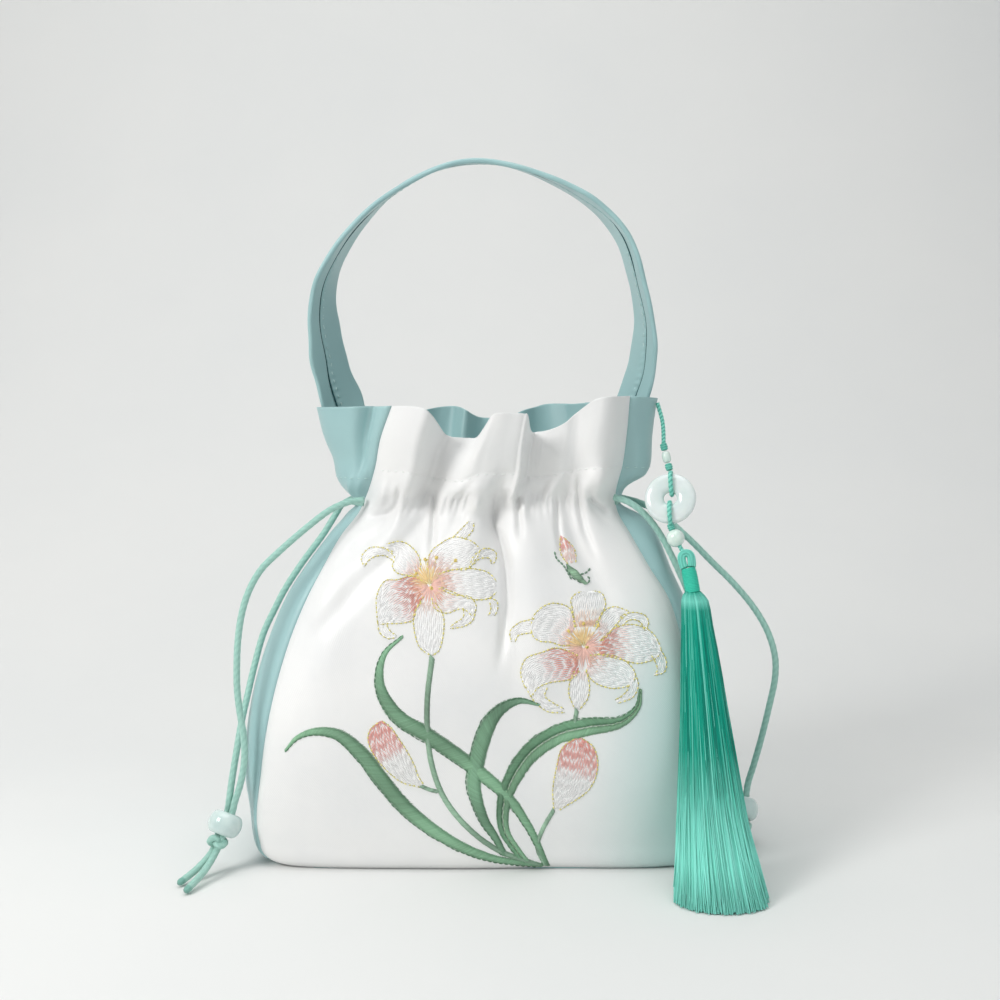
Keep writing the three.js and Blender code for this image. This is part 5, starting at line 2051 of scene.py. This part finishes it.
    def build(self, palette: Palette) -> list[bpy.types.Object]:
        """Stitch everything.

        Args:
            palette: the finishes.

        Returns:
            The three embroidery pieces.
        """
        for leaf in self.LEAVES:
            self.leaf(leaf)
        for petal in (*self.FLOWERS, *self.BUDS):
            self.petal(petal)
        for centre, anthers in zip(self.FLOWER_CENTRES, self.ANTHERS):
            count = self.SPOKES
            turn = np.linspace(0, 2 * math.pi, count + 1)[:-1] + self.deal.uniform(-0.04, 0.04, count)
            reach = self.deal.uniform(6.5, 11.0, count)[:, None] * np.linspace(0.1, 1, 4)
            spokes = np.stack([np.cos(turn), np.sin(turn)], axis=-1)[:, None] * reach[..., None]
            warm = ease(np.cos(turn - 2.0), 0.1, 0.8)[:, None]
            shade = self.vary(self.BLUSH, count, 0.04) * (1 - warm) + self.vary(self.WARM, count, 0.04) * warm
            self.stitch(self.fill, np.array(centre) + spokes, self.SPOKE_THREAD, shade, 0.1)
            for place in anthers:
                halfway = ((centre[0] + place[0]) / 2, (centre[1] + place[1]) / 2)
                self.running((centre, halfway, place), 2.4, 0.2, self.STAMEN_THREAD, self.STAMEN)
                turn = self.deal.uniform(0, math.pi, 7)
                way = np.stack([np.cos(turn), np.sin(turn)], axis=-1)
                flat = np.array(place) + np.linspace(-0.9, 0.9, 4)[None, :, None] * way[:, None]
                self.stitch(self.edges, flat, self.ANTHER_THREAD, self.vary(self.ANTHER, 7), 0.35)
        for hook in self.HOOKS:
            self.running(hook, 1.6, 0.1, self.HOOK_THREAD, self.HOOK)
        pieces = []
        books = (("lily_petals", self.fill), ("lily_leaves", self.green), ("lily_edges", self.edges))
        for name, book in books:
            pieces.append(add_piece(name, book.mesh(name), palette.floss))
        return pieces


@dataclass
class Studio:
    """Camera, pale sweep and soft light."""

    camera_place: Place = (7, -640, 222)
    pitch: float = 5.55
    lens: float = 50.0
    sweep_start: float = 150.0
    sweep_radius: float = 800.0

    def build(self, palette: Palette) -> None:
        """Set up the studio.

        Args:
            palette: the finishes.
        """
        self._camera()
        self._sweep(palette)
        self._world()
        self._lamp("key_light", (-820, -690, 790), (0, 0, 110), 0.42, 8.1, (1.0, 0.99, 0.98))
        self._lamp("fill_light", (850, -900, 420), (20, 0, 120), 1.2, 2.3, (0.9, 0.98, 1.0))
        self._lamp("top_light", (-60, -160, 1150), (0, -60, 0), 0.9, 4.0, (1.0, 1.0, 0.99))
        self._lamp("sweep_light", (-60, 330, 1300), (0, 620, 120), 1.2, 2.7, (0.99, 1.0, 1.0))

    def _camera(self) -> None:
        """Camera at the photograph's viewing angle."""
        data = bpy.data.cameras.new("camera")
        data.lens, data.sensor_width = self.lens, 36.0
        data.clip_start = 0.01
        camera = bpy.data.objects.new("camera", data)
        camera.location = Vector(self.camera_place) * MM
        camera.rotation_euler = (math.radians(90 - self.pitch), 0.0, 0.0)
        bpy.context.scene.collection.objects.link(camera)
        bpy.context.scene.camera = camera

    def _sweep(self, palette: Palette) -> None:
        """Floor that bends up into a wall."""
        bm = bmesh.new()
        turn = np.linspace(-math.pi / 2, 0, 41)
        start, radius = self.sweep_start, self.sweep_radius
        line = [(-2400.0, 0.0), (-400.0, 0.0)]
        line += [(start + radius * math.cos(t), radius + radius * math.sin(t)) for t in turn]
        line += [(start + radius, 1400.0), (start + radius, 2400.0)]
        verts = [bm.verts.new((-2.6, y * MM, z * MM)) for y, z in line]
        edges = [bm.edges.new(pair) for pair in zip(verts, verts[1:])]
        made = bmesh.ops.extrude_edge_only(bm, edges=edges)["geom"]
        moved = [item for item in made if isinstance(item, bmesh.types.BMVert)]
        bmesh.ops.translate(bm, vec=(5.2, 0, 0), verts=moved)
        bmesh.ops.recalc_face_normals(bm, faces=bm.faces)
        mesh = bpy.data.meshes.new("studio_sweep")
        bm.to_mesh(mesh)
        bm.free()
        mesh.polygons.foreach_set("use_smooth", [True] * len(mesh.polygons))
        mesh.materials.append(palette.card)
        sweep = bpy.data.objects.new("studio_sweep", mesh)
        bpy.context.scene.collection.objects.link(sweep)

    @staticmethod
    def _world() -> None:
        """Pale light from all round."""
        world = bpy.data.worlds.new("pale_room")
        world.use_nodes = True
        sky = world.node_tree.nodes["Background"]
        sky.inputs["Color"].default_value = (0.97, 0.985, 1.0, 1.0)
        sky.inputs["Strength"].default_value = 0.35
        bpy.context.scene.world = world
        bpy.context.scene.view_settings.view_transform = "Standard"

    @staticmethod
    def _lamp(name: str, place: Sequence[float], aim: Sequence[float], size: float, power: float,
              colour: Sequence[float]) -> None:
        """Add a square soft light.

        Args:
            name: its name.
            place: where it hangs.
            aim: where it points.
            size: its side in metres.
            power: its power.
            colour: its colour.
        """
        data = bpy.data.lights.new(name, "AREA")
        data.size, data.energy, data.color = size, power, colour
        lamp = bpy.data.objects.new(name, data)
        lamp.location = Vector(place) * MM
        lamp.rotation_euler = (Vector(aim) - Vector(place)).to_track_quat("-Z", "Y").to_euler()
        bpy.context.scene.collection.objects.link(lamp)


FRONT_EDGE = (
    (0, 0, 204), (0.03, 3, 204.3), (0.08, 6, 204.3), (0.12, 8.5, 204), (0.155, 10, 202.6),
    (0.176, 7.5, 200.5), (0.198, -1.5, 196.3), (0.22, -11, 191.8), (0.242, -13.5, 190.3), (0.28, -11, 190),
    (0.32, -7, 190), (0.355, -3, 190.6), (0.385, 1.5, 195), (0.42, 6.5, 200.6), (0.45, 7.8, 201.4),
    (0.5, 8.2, 201.4), (0.55, 8.2, 201), (0.566, 7, 200.3), (0.575, -2, 195), (0.584, -11, 192.6),
    (0.61, -12.5, 192.4), (0.64, -10, 192.9), (0.69, -6.5, 194.8), (0.73, -4.5, 197.3), (0.758, -4, 200),
    (0.78, -3, 202), (0.8, -1, 203.8), (0.84, 3.5, 207), (0.89, 7, 208.2), (0.95, 6, 208.2), (1, 0, 208.2),
)
BACK_EDGE = (
    (0, 0, 204), (0.06, 2, 203.4), (0.1, 4, 203.4), (0.2, 5, 203), (0.25, 2, 201.8), (0.31, -4, 200.4),
    (0.36, -6, 198.2), (0.4, -2.5, 197), (0.44, 1, 196.6), (0.49, 3, 196.4), (0.54, 1, 197),
    (0.575, -3, 198.8), (0.6, -4.5, 200.6), (0.625, -1, 201.7), (0.65, 4, 202), (0.72, 5, 201.8),
    (0.78, 2, 201), (0.84, -3, 199.6), (0.9, 0, 199.6), (0.95, 1, 200.2), (1, 0, 201.5),
)
FRONT_FOLDS = (
    Fold(0.14, 0.01, 2, 0.05, 30), Fold(0.27, 0.03, -2.5, 0.04, 38), Fold(0.42, 0.05, 2.6, 0.06, 55),
    Fold(0.52, 0.05, -3.4, 0.04, 70), Fold(0.64, 0.03, 2.2, 0.05, 40), Fold(0.79, 0.02, -2.4, 0.04, 36),
)
BACK_FOLDS = (Fold(0.3, 0, -2.5, 0.06, 50), Fold(0.5, 0, 2.5, 0.07, 45), Fold(0.7, 0, -2.5, 0.06, 50))
BACK_LEAN = ((0, 0), (0.5, 0), (1, 0))
FRONT_LEAN = (
    (0, 0), (0.1, 0), (0.17, 0), (0.225, 0.012), (0.26, 0.045), (0.33, 0.085), (0.39, 0.055), (0.46, 0.02),
    (0.6, -0.022), (0.7, -0.03), (0.79, -0.02), (0.86, 0.012), (0.92, 0.014), (1, 0),
)
FRONT_CREASES = (
    Crease(((-22.2, 169), (-22.6, 158), (-22.8, 148), (-23, 136)), -4.4, 1.1, 0.5, 0.4),
    Crease(((4.4, 172), (4.2, 160), (4.4, 150), (7.4, 143), (9.6, 133), (10.2, 118), (8, 98), (5, 84)),
           -5.6, 1.3, 0.8, 0.4),
    Crease(((14.9, 165), (15.4, 155), (16.5, 144)), -3.4, 1.0),
    Crease(((31.9, 164), (33, 148), (36, 134)), -3.0, 1.1),
    Crease(((42, 174), (42.4, 160), (45, 148), (52, 132)), -3.4, 1.1),
    Crease(((46.8, 163), (52, 158.5), (58, 154)), -3.4, 1.0),
    Crease(((-37.5, 171), (-38, 165), (-39, 160.5), (-41, 157), (-44.5, 154.8), (-49, 153.8), (-55, 153.8)),
           -3.0, 1.5, 0.3),
    Crease(((-40, 156), (-47, 147), (-60, 139), (-77, 124)), -2.2, 2.2),
    Crease(((-26, 156), (-36, 143), (-53, 127), (-74, 104), (-84, 80)), -2.4, 3.2),
    Crease(((36, 154), (44, 138), (53, 122), (59, 100), (62, 76)), -2.2, 3.2),
    Crease(((-60, 150), (-68, 130), (-70, 100), (-66, 60)), 2.2, 6.0),
    Crease(((14, 150), (22, 120), (24, 90), (18, 50)), 1.8, 6.0),
    Puff(-47, 163.5, 4.2, 5.5, 5.5),
    Puff(-2, 160.5, 2.2, 3.8, 4),
    Puff(53.5, 170.5, 4.2, 6.5, 7),
)
FRONT_TUCKS = (
    Tuck(-13.4, 1.0, 0.8, 4, 5), Tuck(-7.4, 1.1, 0.8, 3, 6), Tuck(12.2, 0.9, 0.8, 3, 5),
    Tuck(23.4, 1.1, 0.8, 4, 6), Tuck(29.0, 1.0, 0.8, 3, 7, 0.1), Tuck(-33.8, 1.0, 0.9, 3, 6),
    Tuck(38.8, 1.0, 0.8, 3, 6, 0.1), Tuck(-31.0, 1.3, 1.2, 4, 6), Tuck(-27.0, 1.0, 1.0, 5, 5),
    Tuck(-16.5, 1.5, 1.2, 6, 7), Tuck(-10.5, 1.6, 1.2, 4, 9), Tuck(9.8, 1.3, 1.1, 5, 6, 0.1),
    Tuck(20.6, 1.8, 1.3, 5, 8, 0.1), Tuck(26.0, 1.3, 1.1, 6, 6, 0.1), Tuck(36.6, 1.5, 1.2, 5, 8, 0.2),
    Tuck(47.8, 1.2, 1.2, 3, 8, 0.4),
)
LEFT_CORD = Drawstring(
    Side.LEFT, (-113.9, -46, 21.2), (-0.34, -0.36, -0.87),
    ((-54.5, -16.6, 161.5), (-61, -19.5, 160.8), (-69, -23.5, 157.5), (-79, -27, 150), (-90, -30, 140.5),
     (-98.6, -32, 132), (-103.7, -34, 123), (-106.6, -36, 113.5), (-108.2, -38, 102), (-108.6, -40, 90),
     (-108.4, -41, 80), (-107.2, -42, 70), (-105.6, -43, 60), (-105.2, -44, 50), (-107, -44.8, 39),
     (-109.6, -44.8, 31)),
    ((-54.5, 17.2, 160.5), (-61.5, 14, 159.5), (-66.9, 7.5, 157), (-69, 1, 153.5), (-74.8, -3.5, 144),
     (-83.7, -6, 132), (-91.9, -8, 119.5), (-96.8, -9, 110), (-101.6, -11, 99.5), (-105, -16, 86),
     (-107.2, -23, 73.5), (-108.8, -30, 63), (-110, -37, 51), (-111.4, -41.5, 39.5), (-112.3, -43, 32)),
    (((-117.3, -51.5, 9.9), (-120.5, -60.5, 5), (-125.3, -75.3, 1.7)),
     ((-119.1, -49, 9.9), (-124, -56.5, 5), (-130.3, -66.4, 1.7))),
)
RIGHT_CORD = Drawstring(
    Side.RIGHT, (119.7, -10, 16.2), (-0.1, -0.5, -0.86),
    ((56, 17, 160.5), (64.5, 14, 159.5), (73, 9, 157.5), (82, 6, 152.8), (95, 2, 141.5), (106, 0, 130.5),
     (115.6, -2, 121), (124.7, -4, 110), (131, -6, 99), (134.1, -8, 88), (134.1, -9, 78), (131.8, -9.5, 66),
     (128.4, -9, 50), (125.4, -7.5, 37), (123, -6, 27)),
    ((58.5, -14.6, 162.5), (64, -16.6, 161), (69.5, -16.8, 157.5), (75, -16.5, 152), (80, -16.2, 145),
     (86, -16.5, 133.5), (94.2, -15.5, 115.5), (103.4, -13, 92), (108, -12, 76), (111, -10, 60),
     (114, -8, 45), (116.6, -6, 34), (118, -5.4, 27)),
    (((120.2, -16.9, 5.7), (119.4, -28, 3.2), (117, -44, 1.7)),
     ((116.5, -16.6, 5.8), (114.6, -27, 3.2), (111.3, -41, 1.7))),
)


def main() -> None:
    """Build the purse and its studio, piece by piece."""
    logging.basicConfig(level=logging.INFO, format="%(name)s: %(message)s")
    palette = Palette()
    Studio().build(palette)
    outline = Outline()
    for cord in (LEFT_CORD, RIGHT_CORD):
        cord.build(palette, outline)
    front = ClothPanel(
        outline, Facing.FRONT, FRONT_EDGE, FRONT_FOLDS, FRONT_CREASES, FRONT_TUCKS, 5, FRONT_LEAN)
    back_tucks = Tuck.dealt(6, 14, (-50, 50))
    back = ClothPanel(outline, Facing.BACK, BACK_EDGE, BACK_FOLDS, (), back_tucks, 6, BACK_LEAN)
    front_cloth = front.build("front_cloth", palette.white, palette.aqua, "white_satin", "front_panel")
    back_cloth = back.build("back_cloth", palette.aqua, palette.aqua, "aqua_satin", "back_panel")
    strip = GussetStrip(outline, front, back)
    gusset = strip.build(palette)
    on_front, on_gusset = ChannelStitches().build(front, strip, palette)
    HandleStrap().build(palette)
    stitching = LilyEmbroidery(front).build(palette)
    DiscPendant().build(palette)
    SilkTassel().build(palette)


if __name__ == "__main__":
    main()
